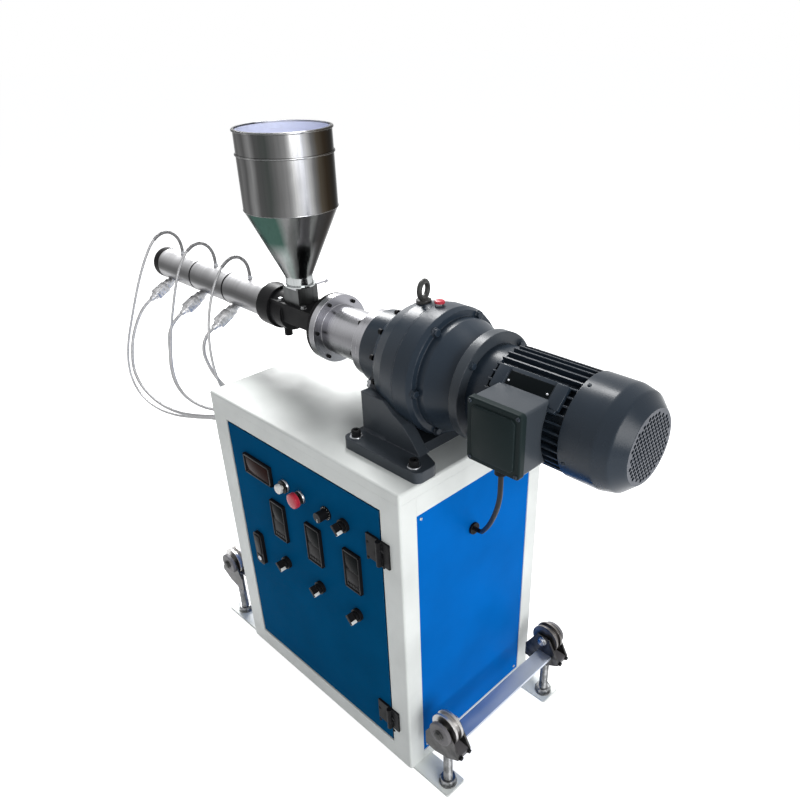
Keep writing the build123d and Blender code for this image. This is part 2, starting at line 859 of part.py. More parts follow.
# Routes of the free leads, by hand, between the straight run out of the plug or probe and the one into the gland.
# x is along the screw and z is from the screw axis.
routes = {
    "heater_lead_1": [
        (-765, -132, -118),
        (-762, -155, -157),
        (-757, -170, -199),
        (-748, -180, -241),
        (-718, -181, -279),
        (-655, -176, -305),
        (-575, -166, -310),
        (-488, -153, -294),
        (-402, -137, -269),
    ],
    "heater_lead_2": [
        (-612, -126, -118),
        (-624, -126, -167),
        (-633, -129, -211),
        (-627, -130, -253),
        (-595, -128, -283),
        (-535, -119, -296),
        (-468, -107, -289),
        (-400, -96, -271),
    ],
    "heater_lead_3": [
        (-449, -126, -116),
        (-436, -124, -153),
        (-414, -118, -185),
        (-384, -108, -209),
    ],
    "probe_lead_1": [
        (-703, -8, 85),
        (-701, -27, 102),
        (-699, -53, 103),
        (-697, -80, 87),
        (-698, -105, 52),
        (-701, -129, 7),
        (-707, -150, -45),
        (-716, -168, -98),
        (-727, -184, -151),
        (-736, -193, -203),
        (-732, -197, -253),
        (-700, -196, -292),
        (-636, -190, -310),
        (-556, -180, -306),
        (-474, -168, -287),
        (-400, -155, -267),
    ],
    "probe_lead_2": [
        (-547, -8, 85),
        (-545, -27, 102),
        (-542, -53, 103),
        (-540, -80, 87),
        (-540, -103, 52),
        (-543, -119, 9),
        (-548, -132, -37),
        (-558, -140, -80),
        (-572, -143, -123),
        (-590, -142, -169),
        (-600, -141, -215),
        (-589, -140, -253),
        (-553, -137, -275),
        (-505, -131, -281),
        (-455, -123, -277),
        (-400, -115, -268),
    ],
    "probe_lead_3": [
        (-400, -8, 82),
        (-398, -26, 97),
        (-395, -51, 97),
        (-392, -77, 81),
        (-390, -102, 47),
        (-390, -121, 3),
        (-391, -132, -43),
        (-388, -139, -89),
        (-383, -141, -131),
        (-377, -139, -167),
        (-366, -133, -197),
    ],
}


def route_points(node):
    """The whole route of a lead: straight out of its start, its own points, straight into its gland."""
    zone = int(node[-1]) - 1
    if node.startswith("heater"):
        start = plug_feet[zone] + plug_direction * plug_reach
        run = plug_direction * plug_run
    else:
        start = Vector(band_centres[zone], 0, axis_z + band_radius + probe_height)
        run = Vector(0, 0, probe_run)
    gland_y, drop = gland_places[node]
    end = Vector(gland_face, gland_y, cabinet_height - drop)
    middle = [Vector(datum_x + x, y, axis_z + z) for x, y, z in routes[node]]
    return [start, start + run, *middle, end - Vector(gland_run, 0, 0), end]


def bend_radii(points):
    """For each corner, 0.45 of its shorter run over the tangent of half its turn."""
    radii = []
    for before, corner, after in zip(points, points[1:], points[2:]):
        first, second = corner - before, after - corner
        turn = radians(first.get_angle(second))
        radii.append(0.45 * min(first.length, second.length) / tan(turn / 2))
    return radii


def lead(points, diameter, node):
    """Sweeps a round lead along straight runs joined by tangent arcs."""
    radii = bend_radii(points)
    with BuildPart() as tube:
        with BuildLine() as path:
            FilletPolyline(*points, radius=radii)
        with BuildSketch(Plane(points[0], z_dir=points[1] - points[0])):
            Circle(diameter / 2)
        sweep(path=path.wire())
    save(tube, node)
    length = path.wire().length
    expected = pi * diameter**2 / 4 * length
    print(
        node,
        f"length {length:.0f}",
        f"tightest bend {min(radii):.0f}",
        f"volume ratio {tube.part.volume / expected:.4f}",
        "runs",
        [round((b - a).length) for a, b in zip(points, points[1:])],
    )


for name in routes:
    thickness = lead_diameter if name.startswith("heater") else probe_lead_diameter
    lead(route_points(name), thickness, name)

# The motor cable's bends, as shares of the way from its gland's run to its grommet's
motor_shares = (
    (0.03, 0.04, 0.13),
    (0.13, 0.12, 0.29),
    (0.28, 0.25, 0.45),
    (0.46, 0.42, 0.61),
    (0.66, 0.62, 0.76),
    (0.87, 0.85, 0.91),
)
cable_start = Vector(terminal_x, box_gland_y, box_low - box_gland_drop)
cable_end = Vector(grommet_x + grommet_length, grommet_y, grommet_z)
leave = cable_start - Vector(0, 0, box_gland_run)
arrive = cable_end + Vector(grommet_run, 0, 0)
way = arrive - leave
bends = [leave + Vector(way.X * a, way.Y * b, way.Z * c) for a, b, c in motor_shares]
lead([cable_start, leave, *bends, arrive, cable_end], motor_cable_diameter, "motor_cable")
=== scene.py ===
"""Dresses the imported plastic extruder: camera, light, cords, materials and small details."""
import json
import math

import bmesh
import bpy
from mathutils import Matrix, Vector


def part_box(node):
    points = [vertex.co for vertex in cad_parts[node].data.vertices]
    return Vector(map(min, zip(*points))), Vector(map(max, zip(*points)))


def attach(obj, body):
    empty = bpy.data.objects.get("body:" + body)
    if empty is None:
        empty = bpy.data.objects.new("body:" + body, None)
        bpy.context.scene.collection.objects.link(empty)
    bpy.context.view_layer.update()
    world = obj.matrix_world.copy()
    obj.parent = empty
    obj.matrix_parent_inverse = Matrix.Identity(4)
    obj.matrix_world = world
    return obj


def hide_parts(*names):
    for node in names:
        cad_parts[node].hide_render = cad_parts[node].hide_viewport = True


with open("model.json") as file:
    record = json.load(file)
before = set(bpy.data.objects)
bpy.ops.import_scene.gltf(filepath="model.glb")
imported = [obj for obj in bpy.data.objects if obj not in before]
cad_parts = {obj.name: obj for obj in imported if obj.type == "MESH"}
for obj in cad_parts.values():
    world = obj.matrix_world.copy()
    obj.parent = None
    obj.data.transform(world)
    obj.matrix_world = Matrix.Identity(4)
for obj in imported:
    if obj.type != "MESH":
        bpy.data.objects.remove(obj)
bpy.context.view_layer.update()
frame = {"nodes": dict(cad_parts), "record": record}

scene = bpy.context.scene
scene.view_settings.view_transform = "Standard"

# Lengths are in millimetres in the CAD frame, unless a comment says metres.
MM = 0.001
SCREW_AXIS = 875
HOPPER_X = -207
BAND_RADIUS = 38
PLUG_XS = (-759.5, -603, -456)
PROBE_XS = (-704.5, -548, -401)
FOOT_TOP = 757
FOOT_BOLTS = ((122, 143), (276, 144))
LID_X, LID_FRONT, LID_Z = 445.5, -140, 878
DOOR_FRONT = -204
CONTROLLER_XS, CONTROLLER_Z = (-86, 36, 158), 490
METER_PLACE = (-142, 599)
START_PLACE, STOP_PLACE, SPEED_PLACE = (-49.1, 597.8), (2.9, 594.1), (85, 594.7)
SELECTOR_PLACES = ((-81.9, 376.2), (38.9, 376.2), (159.9, 376.2), (140.9, 594.7))
LOCK_X = -187
WHEEL_XS = (377, -397)
JACK_YS = (-170, 170)

SIDES = (-1, 1)
RIGHT, LEFT = (1, 0, 0), (-1, 0, 0)
BACK, FRONT = (0, 1, 0), (0, -1, 0)
UP, DOWN = (0, 0, 1), (0, 0, -1)


def axes_at(place, x_axis, y_axis, z_axis):
    """A frame at a place, from its three directions."""
    return Matrix.Translation(place) @ Matrix((x_axis, y_axis, z_axis)).transposed().to_4x4()


# Camera, fitted to the cabinet's corners in the photograph

AZIMUTH, ELEVATION, ROLL = (math.radians(angle) for angle in (45.118, 30.973, -1.350))
CAMERA_PLACE = Vector((1043.49, -880.81, 1433.11)) * MM
FOCAL_PIXELS = 724.71
CENTRE_PIXELS = (424.87, 447.63)
IMAGE_PIXELS = 800


def add_camera():
    data = bpy.data.cameras.new("camera")
    data.lens = data.sensor_width * FOCAL_PIXELS / IMAGE_PIXELS
    data.shift_x = 0.5 - CENTRE_PIXELS[0] / IMAGE_PIXELS
    data.shift_y = CENTRE_PIXELS[1] / IMAGE_PIXELS - 0.5
    data.clip_end = 100
    back = Vector((
        math.sin(AZIMUTH) * math.cos(ELEVATION),
        -math.cos(AZIMUTH) * math.cos(ELEVATION),
        math.sin(ELEVATION),
    ))
    level = Vector((math.cos(AZIMUTH), math.sin(AZIMUTH), 0))
    above = back.cross(level)
    right = level * math.cos(ROLL) + above * math.sin(ROLL)
    camera = bpy.data.objects.new("camera", data)
    camera.matrix_world = axes_at(CAMERA_PLACE, right, back.cross(right), back)
    scene.collection.objects.link(camera)
    scene.camera = camera


# Materials. Their lengths are in metres.

class Finish:
    """A Principled material whose colour, roughness and bump come from nodes."""

    def __init__(self, name, **fixed):
        self.material = bpy.data.materials.new(name)
        self.material.use_nodes = True
        self.nodes = self.material.node_tree.nodes
        self.links = self.material.node_tree.links
        self.shader = self.nodes["Principled BSDF"]
        for socket, value in fixed.items():
            self.shader.inputs[socket.replace("_", " ")].default_value = value
        self.place = self.add("TexCoord", "Object", {})

    def add(self, kind, output, inputs, **settings):
        node = self.nodes.new("ShaderNode" + kind)
        for key, value in settings.items():
            setattr(node, key, value)
        for socket, value in inputs.items():
            if isinstance(value, bpy.types.NodeSocket):
                self.links.new(value, node.inputs[socket])
            else:
                node.inputs[socket].default_value = value
        return node.outputs[output]

    def noise(self, scale, detail, stretch=(1, 1, 1), place=None):
        where = self.add("Mapping", "Vector", {"Vector": place or self.place, "Scale": stretch})
        return self.add("TexNoise", "Fac", {"Vector": where, "Scale": scale, "Detail": detail})

    def ramp(self, factor, *stops):
        output = self.add("ValToRGB", "Color", {"Fac": factor})
        elements = output.node.color_ramp.elements
        while len(elements) < len(stops):
            elements.new(0.5)
        for element, (position, value) in zip(elements, stops):
            element.position = position
            element.color = (*value, 1) if isinstance(value, tuple) else (value, value, value, 1)
        return output

    def mix(self, factor, first, second, blend_type="MIX"):
        inputs = {"Fac": factor}
        for socket, colour in (("Color1", first), ("Color2", second)):
            inputs[socket] = (*colour, 1) if isinstance(colour, tuple) else colour
        return self.add("MixRGB", "Color", inputs, blend_type=blend_type)

    def math(self, operation, first, second=0.0):
        return self.add("Math", "Value", {0: first, 1: second}, operation=operation)

    def parts(self, vector):
        """The X, Y and Z sockets of a vector."""
        return self.add("SeparateXYZ", "X", {"Vector": vector}).node.outputs

    def wavering(self, angle, scale, amount):
        """An angle with a slow wander, for painted reflection bands that don't run dead straight.
        """
        wander = self.math("SUBTRACT", self.noise(scale, 2), 0.5)
        return self.math("ADD", angle, self.math("MULTIPLY", wander, amount))

    def banded(self, angle, bands):
        """The tone at an angle, from bands of (degrees, tone) that run from -180 to 180: painted
        reflections and shade round an axis.
        """
        share = self.math("ADD", self.math("DIVIDE", angle, 2 * math.pi), 0.5)
        return self.ramp(share, *[(degrees / 360 + 0.5, tone) for degrees, tone in bands])

    def rounded(self, radius):
        """The normal with edges rounded, and a mask that is 1 along those edges."""
        soft = self.add("Bevel", "Normal", {"Radius": radius}, samples=6)
        true = self.add("NewGeometry", "Normal", {})
        facing = self.add("VectorMath", "Value", {0: soft, 1: true}, operation="DOT_PRODUCT")
        return soft, self.ramp(facing, (0.86, 1.0), (0.99, 0.0))

    def bump(self, height, strength, distance, normal=None):
        inputs = {"Height": height, "Strength": strength, "Distance": distance}
        if normal is not None:
            inputs["Normal"] = normal
        return self.add("Bump", "Normal", inputs)

    def finish(self, colour, roughness, normal):
        for name, value in (("Base Color", colour), ("Roughness", roughness), ("Normal", normal)):
            self.links.new(value, self.shader.inputs[name])
        return self.material


def shade(colour, times):
    return tuple(min(1.0, part * times) for part in colour)


def bare_metal(name, grazing):
    """A plain metal; grazing dulls what it mirrors along its outline."""
    return Finish(name, Metallic=1.0, Specular_Tint=(grazing, grazing, grazing, 1))


def painted(name, colour, worn, rough, grain, depth, specular, edge=0.0015, wear=0.6):
    """Paint or moulding: a fine grain, slight fading, and edges worn through to another colour."""
    look = Finish(name, Specular_IOR_Level=specular)
    soft, rim = look.rounded(edge)
    cloud = look.noise(7, 4)
    speck = look.noise(90, 5)
    base = look.ramp(cloud, (0.3, shade(colour, 0.90)), (0.7, shade(colour, 1.07)))
    scuffed = look.math("MULTIPLY", rim, look.ramp(speck, (0.42, 0.0), (0.62, wear)))
    tone = look.mix(scuffed, base, worn)
    gloss = look.ramp(look.noise(24, 4), (0.3, rough * 0.86), (0.72, rough * 1.16))
    return look.finish(tone, gloss, look.bump(look.noise(grain, 2), depth, 0.0006, soft))


METAL_EDGE = 0.0012
# Painted reflection tone for the end faces of turned pieces
END_FACE_REFLECTION = (0.34, 0.34, 0.35)


def metal(name, colour, stain, rough, marks, stretch, spread, depth=0.12, bands=None, grazing=1.0):
    """Bare metal with tool marks: noise drawn out along the marks, faint stains, bright edges.

    The bands of (degrees, tone) are for pieces turned about the screw axis: they paint the
    reflections and shade of the room round them, by angle, and the end faces get one painted
    reflection tone. Their marks run round that axis."""
    look = bare_metal(name, grazing)
    soft, rim = look.rounded(METAL_EDGE)
    where = look.place
    if bands:
        x, y, z = look.parts(look.place)
        rise = look.math("SUBTRACT", z, SCREW_AXIS * MM)
        forward = look.math("MULTIPLY", y, -1.0)
        section = look.add("CombineXYZ", "Vector", {"X": forward, "Y": rise})
        reach = look.add("VectorMath", "Value", {0: section}, operation="LENGTH")
        where = look.add("CombineXYZ", "Vector", {"X": x, "Y": reach})
        angle = look.wavering(look.math("ARCTAN2", forward, rise), 14, 0.25)
        normal = look.add("NewGeometry", "Normal", {})
        endwise = look.math("ABSOLUTE", look.parts(normal)["X"])
        end_mask = look.ramp(endwise, (0.4, 0.0), (0.8, 1.0))
        # painted reflections and shade by angle round the screw axis, and a flat painted tone on
        # the end faces
        painted_reflection = look.mix(end_mask, look.banded(angle, bands), END_FACE_REFLECTION)
    lines = look.noise(marks, 4, stretch, where)
    dim, lit = shade(colour, 1 - spread), shade(colour, 1 + spread * 0.6)
    base = look.ramp(lines, (0.3, dim), (0.7, lit))
    if bands:
        # the painted reflections and shade darken the tool-mark tone
        base = look.mix(1.0, base, painted_reflection, "MULTIPLY")
    blot = look.ramp(look.noise(12, 5), (0.5, 0.0), (0.75, 0.55))
    stained = look.mix(blot, base, stain, "DARKEN")
    tone = look.mix(look.math("MULTIPLY", rim, 0.55), stained, shade(colour, 1.5))
    gloss = look.ramp(lines, (0.3, rough * 0.8), (0.7, rough * 1.2))
    return look.finish(tone, gloss, look.bump(lines, depth, 0.0003, soft))


# Heights above CONE_DATUM where the cone's foot and the neck under it give way to what is above
CONE_DATUM = 0.9
FOOT_BLEND = (0.112, 0.145)
NECK_BLEND = (0.061, 0.067)


def stainless(name, upper, lower=None, neck=None):
    """Polished sheet rolled round the hopper's axis, its reflections painted as upright bands of
    (heading in degrees, tone).

    lower is a second set of painted reflection bands, for the foot of the cone, and neck the
    painted reflection tone of the ring under it."""
    look = bare_metal(name, 0.5)
    soft, rim = look.rounded(0.001)
    x, y, z = look.parts(look.place)
    across = look.math("SUBTRACT", x, HOPPER_X * MM)
    heading = look.wavering(look.math("ARCTAN2", y, across), 9, 0.18)
    # painted reflections by heading round the hopper
    tone = look.banded(heading, upper)
    if lower:
        above = look.math("SUBTRACT", z, CONE_DATUM)
        for (start, end), below in ((FOOT_BLEND, look.banded(heading, lower)), (NECK_BLEND, neck)):
            tone = look.mix(look.ramp(above, (start, 1.0), (end, 0.0)), tone, below)
    streak = look.ramp(look.noise(260, 3, (1, 1, 0.03)), (0.4, 0.0), (0.75, 0.45))
    lined = look.mix(streak, tone, (0.72, 0.73, 0.73), "MULTIPLY")
    bright = look.mix(look.math("MULTIPLY", rim, 0.6), lined, (0.80, 0.81, 0.83))
    rough = 0.17
    gloss = look.ramp(look.noise(16, 4), (0.3, rough * 0.8), (0.7, rough * 1.25))
    return look.finish(bright, gloss, look.bump(look.noise(9, 2), 0.06, 0.004, soft))


STRANDS_ROUND, STRANDS_ALONG = 6.0, 120.0


def braid(name, colour):
    """Braided metal sleeve: two crossing families of strands along the cord."""
    look = bare_metal(name, 0.2)
    along, around, _ = look.parts(look.add("TexCoord", "UV", {}))
    strands = []
    for lean in (1, -1):
        turn = look.math("MULTIPLY", around, STRANDS_ROUND)
        run = look.math("MULTIPLY", along, STRANDS_ALONG * lean)
        phase = look.math("MULTIPLY", look.math("ADD", turn, run), 2 * math.pi)
        strands.append(look.math("SINE", phase))
    weave = look.math("MAXIMUM", *strands)
    tone = look.ramp(weave, (0.1, shade(colour, 0.45)), (0.9, colour))
    soot = look.ramp(look.noise(30, 3), (0.4, 0.0), (0.75, 0.5))
    dull = look.mix(soot, tone, shade(colour, 0.6))
    gloss = look.ramp(look.noise(60, 3), (0.3, 0.34), (0.7, 0.5))
    return look.finish(dull, gloss, look.bump(weave, 0.5, 0.0006))


WHITE = (0.80, 0.83, 0.81)
BLUE = (0.001, 0.140, 0.530)
# a darker copy of the blue powder coat for the door and its stiffeners: painted shade
SHADED_DOOR_BLUE = (0.001, 0.088, 0.225)
CASTING = (0.021, 0.032, 0.047)

# Painted reflections round the hopper: tones by heading from +X
SHELL_REFLECTION_BANDS = (
    (-180, 0.12), (-130, 0.15), (-112, 0.07), (-100, 0.16), (-90, 0.09), (-80, 0.21), (-72, 0.07),
    (-58, (0.052, 0.058, 0.055)), (-47, 0.12), (-36, 0.20), (-29, 0.44),
    (-18, (0.58, 0.59, 0.63)), (-10, 0.38), (-4, 0.14), (4, (0.065, 0.055, 0.042)),
    (15, (0.028, 0.021, 0.014)), (38, 0.022), (60, 0.26), (150, 0.40),
)
# painted reflections on the cone
CONE_REFLECTION_BANDS = (
    (-180, 0.06), (-95, (0.040, 0.078, 0.066)), (-56, (0.034, 0.068, 0.056)), (-44, 0.18),
    (-32, 0.36), (-22, 0.12), (-11, 0.17), (-3, 0.030), (34, (0.020, 0.016, 0.014)), (60, 0.22),
    (150, 0.34),
)
# painted reflections at the foot of the cone
FOOT_REFLECTION_BANDS = (
    (-180, 0.12), (-100, (0.09, 0.11, 0.105)), (-78, 0.20), (-52, (0.31, 0.35, 0.34)), (-43, 0.28),
    (-34, 0.20), (-13, (0.22, 0.25, 0.24)), (-3, 0.18), (8, 0.05), (18, 0.025), (45, 0.15),
    (150, 0.30),
)
# painted reflection tone of the ring under the cone
NECK_REFLECTION_TONE = (0.44, 0.46, 0.46)
# Painted reflections, highlights and shade round the screw axis: tones by angle from the top
# towards the door
HOUSING_LIGHT_BANDS = (
    (-180, 0.25), (-90, 0.25), (-30, 0.38), (18, 0.48), (32, 0.47), (52, 0.43), (62, 0.34),
    (74, 0.23), (90, 0.19), (104, 0.26), (130, 0.14), (180, 0.25),
)
# painted highlight on the top of the heater bands, painted shade below
HEATER_LIGHT_BANDS = (
    (-180, 0.20), (-90, 0.35), (-25, 0.62), (30, 0.66), (42, 0.46), (56, 0.27), (70, 0.13),
    (82, 0.085), (92, 0.11), (104, 0.34), (125, 0.15), (180, 0.20),
)

# Paints and mouldings: colour, worn edges, roughness, scale and depth of the grain, specular level
PAINTS = {
    "white_paint": (WHITE, (0.42, 0.43, 0.42), 0.42, 900, 0.10, 0.2),
    "blue_paint": (BLUE, (0.10, 0.26, 0.55), 0.34, 900, 0.06, 0.004),
    # darker copy of the blue powder coat: painted shade
    "door_blue": (SHADED_DOOR_BLUE, (0.08, 0.20, 0.34), 0.34, 900, 0.06, 0.001),
    "black_hardware": ((0.008, 0.008, 0.009), (0.10, 0.10, 0.10), 0.42, 700, 0.14, 0.07),
    "black_plastic": ((0.009, 0.009, 0.010), (0.05, 0.05, 0.05), 0.40, 1400, 0.10, 0.07),
    "white_plastic": ((0.80, 0.80, 0.77), (0.60, 0.60, 0.57), 0.28, 900, 0.04, 0.5),
    "red_plastic": ((0.52, 0.030, 0.055), (0.70, 0.18, 0.20), 0.26, 900, 0.04, 0.25),
    "dark_steel": ((0.045, 0.046, 0.045), (0.26, 0.25, 0.24), 0.46, 300, 0.25, 0.25),
    "web_steel": ((0.150, 0.145, 0.152), (0.36, 0.36, 0.35), 0.46, 300, 0.20, 0.3),
    "grey_casting": (CASTING, (0.09, 0.10, 0.12), 0.32, 260, 0.14, 0.19),
    "foot_paint": ((0.043, 0.052, 0.063), (0.10, 0.11, 0.13), 0.34, 260, 0.14, 0.19),
    "motor_paint": (shade(CASTING, 0.85), (0.12, 0.13, 0.15), 0.28, 420, 0.07, 0.22),
    "box_paint": ((0.015, 0.024, 0.025), (0.10, 0.11, 0.12), 0.40, 420, 0.10, 0.05),
    # lighter copy of the motor paint for the grille's outer faces: painted light
    "grille_paint": ((0.070, 0.078, 0.098), (0.16, 0.17, 0.20), 0.34, 420, 0.07, 0.22),
    "black_iron": ((0.010, 0.010, 0.011), (0.16, 0.16, 0.16), 0.44, 420, 0.2, 0.07),
    "barrel_steel": ((0.014, 0.014, 0.015), (0.20, 0.20, 0.20), 0.42, 500, 0.12, 0.08),
    "joint_black": ((0.008, 0.008, 0.009), (0.016, 0.016, 0.017), 0.5, 400, 0.1, 0.05),
    # near-white lavender of the sheet inside the hopper: painted sheen of its polished inside
    "hopper_lining": ((0.76, 0.79, 0.93), (0.84, 0.86, 0.96), 0.30, 200, 0.03, 0.4),
    "black_rubber": ((0.010, 0.010, 0.012), (0.04, 0.04, 0.04), 0.5, 600, 0.1, 0.2),
    "window": ((0.006, 0.008, 0.009), (0.02, 0.02, 0.02), 0.16, 60, 0.01, 0.015),
    "red_window": ((0.030, 0.010, 0.008), (0.03, 0.02, 0.02), 0.16, 60, 0.01, 0.015),
}
# Bare metals: colour, stains, roughness, scale and stretch of the tool marks, spread of their tone
METALS = {
    "zinc_steel": ((0.53, 0.57, 0.64), (0.40, 0.43, 0.46), 0.46, 30, (1, 0.2, 1), 0.10),
    "wheel_steel": ((0.50, 0.49, 0.48), (0.14, 0.11, 0.10), 0.34, 400, (0.04, 1, 0.04), 0.25),
    # a darker, more mottled copy of the wheel steel, for the back wheels
    "worn_wheel": ((0.20, 0.19, 0.185), (0.05, 0.045, 0.04), 0.36, 90, (0.3, 1, 0.3), 0.7),
    "worn_steel": ((0.075, 0.074, 0.074), (0.025, 0.025, 0.025), 0.38, 60, (1, 1, 1), 0.8),
    "bright_steel": ((0.92, 0.92, 0.97), (0.60, 0.60, 0.63), 0.30, 900, (1, 1, 1), 0.05),
    "band_steel": ((0.90, 0.90, 0.92), (0.55, 0.54, 0.55), 0.42, 300, (0.3, 1, 1), 0.14),
    "throat_steel": ((0.11, 0.115, 0.115), (0.05, 0.05, 0.05), 0.38, 200, (1, 1, 0.1), 0.25),
    "plug_metal": ((0.54, 0.54, 0.55), (0.20, 0.20, 0.20), 0.42, 130, (1, 1, 1), 0.4),
    "jack_zinc": ((0.22, 0.225, 0.23), (0.06, 0.06, 0.06), 0.34, 110, (1, 1, 0.5), 0.7),
    "screw_zinc": ((0.42, 0.43, 0.45), (0.24, 0.24, 0.26), 0.30, 120, (1, 1, 1), 0.25),
    "guard_steel": ((0.19, 0.19, 0.195), (0.06, 0.06, 0.06), 0.34, 160, (1, 1, 1), 0.5),
}
# What a few looks have besides
EXTRAS = {
    "white_paint": {"wear": 0.3}, "black_iron": {"wear": 0.4}, "barrel_steel": {"wear": 0.4},
    "grey_casting": {"edge": 0.003}, "foot_paint": {"edge": 0.003}, "plug_metal": {"grazing": 0.2},
    "bright_steel": {"depth": 0.02, "bands": HOUSING_LIGHT_BANDS}, "band_steel": {"bands": HEATER_LIGHT_BANDS},
}
# Materials that aren't named after their look
NAMES = {
    "white_paint": "white_powder_coat", "blue_paint": "blue_powder_coat",
    "door_blue": "door_powder_coat", "zinc_steel": "zinc_plate", "grey_casting": "casting_paint",
    "box_paint": "terminal_box_paint", "bright_steel": "turned_steel", "black_iron": "black_oxide",
    "barrel_steel": "nitrided_barrel", "band_steel": "heater_band", "plug_metal": "plug_casting",
    "window": "instrument_window", "red_window": "meter_window",
}
LOOKS = {
    "polished_stainless": stainless("polished_stainless", SHELL_REFLECTION_BANDS),
    "cone_stainless": stainless("cone_stainless", CONE_REFLECTION_BANDS, FOOT_REFLECTION_BANDS, NECK_REFLECTION_TONE),
    "braided_sleeve": braid("braided_sleeve", (0.54, 0.54, 0.55)),
}
for make, rows in ((painted, PAINTS), (metal, METALS)):
    for look, row in rows.items():
        LOOKS[look] = make(NAMES.get(look, look), *row, **EXTRAS.get(look, {}))
# Looks of the CAD nodes that differ from their slot's
NODE_LOOKS = {
    "door_panel": "door_blue", "door_stiffeners": "door_blue", "fork_cheeks": "worn_steel",
    "fork_webs": "web_steel", "wheel_back_right": "worn_wheel", "wheel_back_left": "worn_wheel",
    "gearbox_foot": "foot_paint", "motor_flange": "foot_paint", "motor_body": "motor_paint",
    "terminal_box": "foot_paint", "terminal_box_lid": "box_paint", "output_ring": "bright_steel",
    "hopper_throat": "throat_steel", "hopper_cone": "cone_stainless",
}


def dress_nodes():
    """Gives each CAD node the look of its material slot, or the closer one named above."""
    for part in frame["record"]["subparts"]:
        look = NODE_LOOKS.get(part["node"], part["material_slot"])
        node = frame["nodes"][part["node"]]
        node.data.materials.clear()
        node.data.materials.append(LOOKS[look])


# Mesh helpers. A mesh is built in millimetres and scaled once, when the piece is made.

ROUND = 24
HEX = 6
SHARP = math.radians(32)


def standing(place, towards):
    """A frame at place whose +Z points towards."""
    up = Vector(towards).normalized()
    side = Vector(UP) if abs(up.z) < 0.9 else Vector(RIGHT)
    across = side.cross(up).normalized()
    return axes_at(place, across, up.cross(across), up)


def facing_front(x, y, z):
    """A frame on a face that is turned to the front: X to the right, Y up, Z out of the face."""
    return Matrix(((1, 0, 0, x), (0, 0, -1, y), (0, 1, 0, z), (0, 0, 0, 1)))


def door_point(x, z, out=0.0):
    """A frame on the door's front, or out in front of it."""
    return facing_front(x, DOOR_FRONT - out, z)


def spun(where, degrees):
    """A frame turned about its own Z."""
    return where @ Matrix.Rotation(math.radians(degrees), 4, "Z")


def away(degrees):
    """The direction away from the screw axis, at an angle from +Y."""
    angle = math.radians(degrees)
    return Vector((0, math.cos(angle), math.sin(angle)))


def circle_of(count, radius, x, start=0.0):
    """Places round the screw axis at one x, the first at the angle start from +Y."""
    places = []
    for index in range(count):
        angle = math.radians(start + 360 * index / count)
        places.append((x, radius * math.cos(angle), SCREW_AXIS + radius * math.sin(angle)))
    return places


def corners(node):
    """The low and high corner of a CAD node's box, in millimetres."""
    return [Vector(corner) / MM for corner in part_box(node)]


def ring(radius, sides, count):
    """Points of a circle, or of a regular polygon with its corners at radius."""
    points = []
    for index in range(count):
        angle = 2 * math.pi * index / count
        reach = radius
        if sides:
            half = math.pi / sides
            reach = radius * math.cos(half) / math.cos(angle % (2 * half) - half)
        points.append((reach * math.cos(angle), reach * math.sin(angle)))
    return points


def stack(mesh, where, layers, closed=False, count=ROUND):
    """Joins rings along a frame's Z: each layer is (height, radius) or (height, radius, sides).

    A closed stack joins its last ring to its first, which makes a hollow ring; others get end
    faces."""
    rings = []
    for height, radius, *sides in layers:
        outline = ring(radius, sides[0] if sides else 0, count)
        rings.append([mesh.verts.new(where @ Vector((u, v, height))) for u, v in outline])
    pairs = list(zip(rings, rings[1:]))
    if closed:
        pairs.append((rings[-1], rings[0]))
    for low, high in pairs:
        for index in range(count):
            after = (index + 1) % count
            mesh.faces.new((low[index], low[after], high[after], high[index]))
    if not closed:
        mesh.faces.new(rings[0][::-1])
        mesh.faces.new(rings[-1])


def slab(mesh, where, low, high, soften=0.6, steps=2):
    """A block between two corners of a frame, with its edges rounded."""
    size = [b - a for a, b in zip(low, high)]
    middle = [(a + b) / 2 for a, b in zip(low, high)]
    place = where @ Matrix.Translation(middle) @ Matrix.Diagonal((*size, 1))
    made = bmesh.ops.create_cube(mesh, size=1, matrix=place)
    edges = list({edge for vert in made["verts"] for edge in vert.link_edges})
    bmesh.ops.bevel(
        mesh, geom=edges, offset=soften, segments=steps, affect="EDGES", profile=0.5
    )


def prism(mesh, where, outline, low, high, soften):
    """An outline in a frame's XY plane, drawn out along its Z, with its edges rounded."""
    base = [mesh.verts.new(where @ Vector((u, v, low))) for u, v in outline]
    top = [mesh.verts.new(where @ Vector((u, v, high))) for u, v in outline]
    faces = [mesh.faces.new(base[::-1]), mesh.faces.new(top)]
    for index in range(len(outline)):
        after = (index + 1) % len(outline)
        faces.append(mesh.faces.new((base[index], base[after], top[after], top[index])))
    edges = list({edge for face in faces for edge in face.edges})
    bmesh.ops.bevel(mesh, geom=edges, offset=soften, segments=2, affect="EDGES", profile=0.5)


def piece(name, mesh, look, body="machine"):
    """Makes the mesh an object that rides on a body, smooth but for its sharp edges."""
    bmesh.ops.recalc_face_normals(mesh, faces=mesh.faces)
    bmesh.ops.scale(mesh, vec=(MM, MM, MM), verts=mesh.verts)
    for face in mesh.faces:
        face.smooth = True
    for edge in mesh.edges:
        edge.smooth = len(edge.link_faces) == 2 and edge.calc_face_angle() < SHARP
    data = bpy.data.meshes.new(name)
    mesh.to_mesh(data)
    mesh.free()
    made = bpy.data.objects.new(name, data)
    scene.collection.objects.link(made)
    data.materials.append(LOOKS[look])
    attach(made, body)
    return made


def cap_screw(mesh, place, towards, size):
    """A socket head cap screw's head, its socket open."""
    stack(mesh, standing(place, towards), [
        (0, size * 0.72), (0, size * 0.75), (size * 0.88, size * 0.75), (size, size * 0.66),
        (size, size * 0.46), (size, size * 0.45, HEX), (size * 0.45, size * 0.44, HEX),
    ])


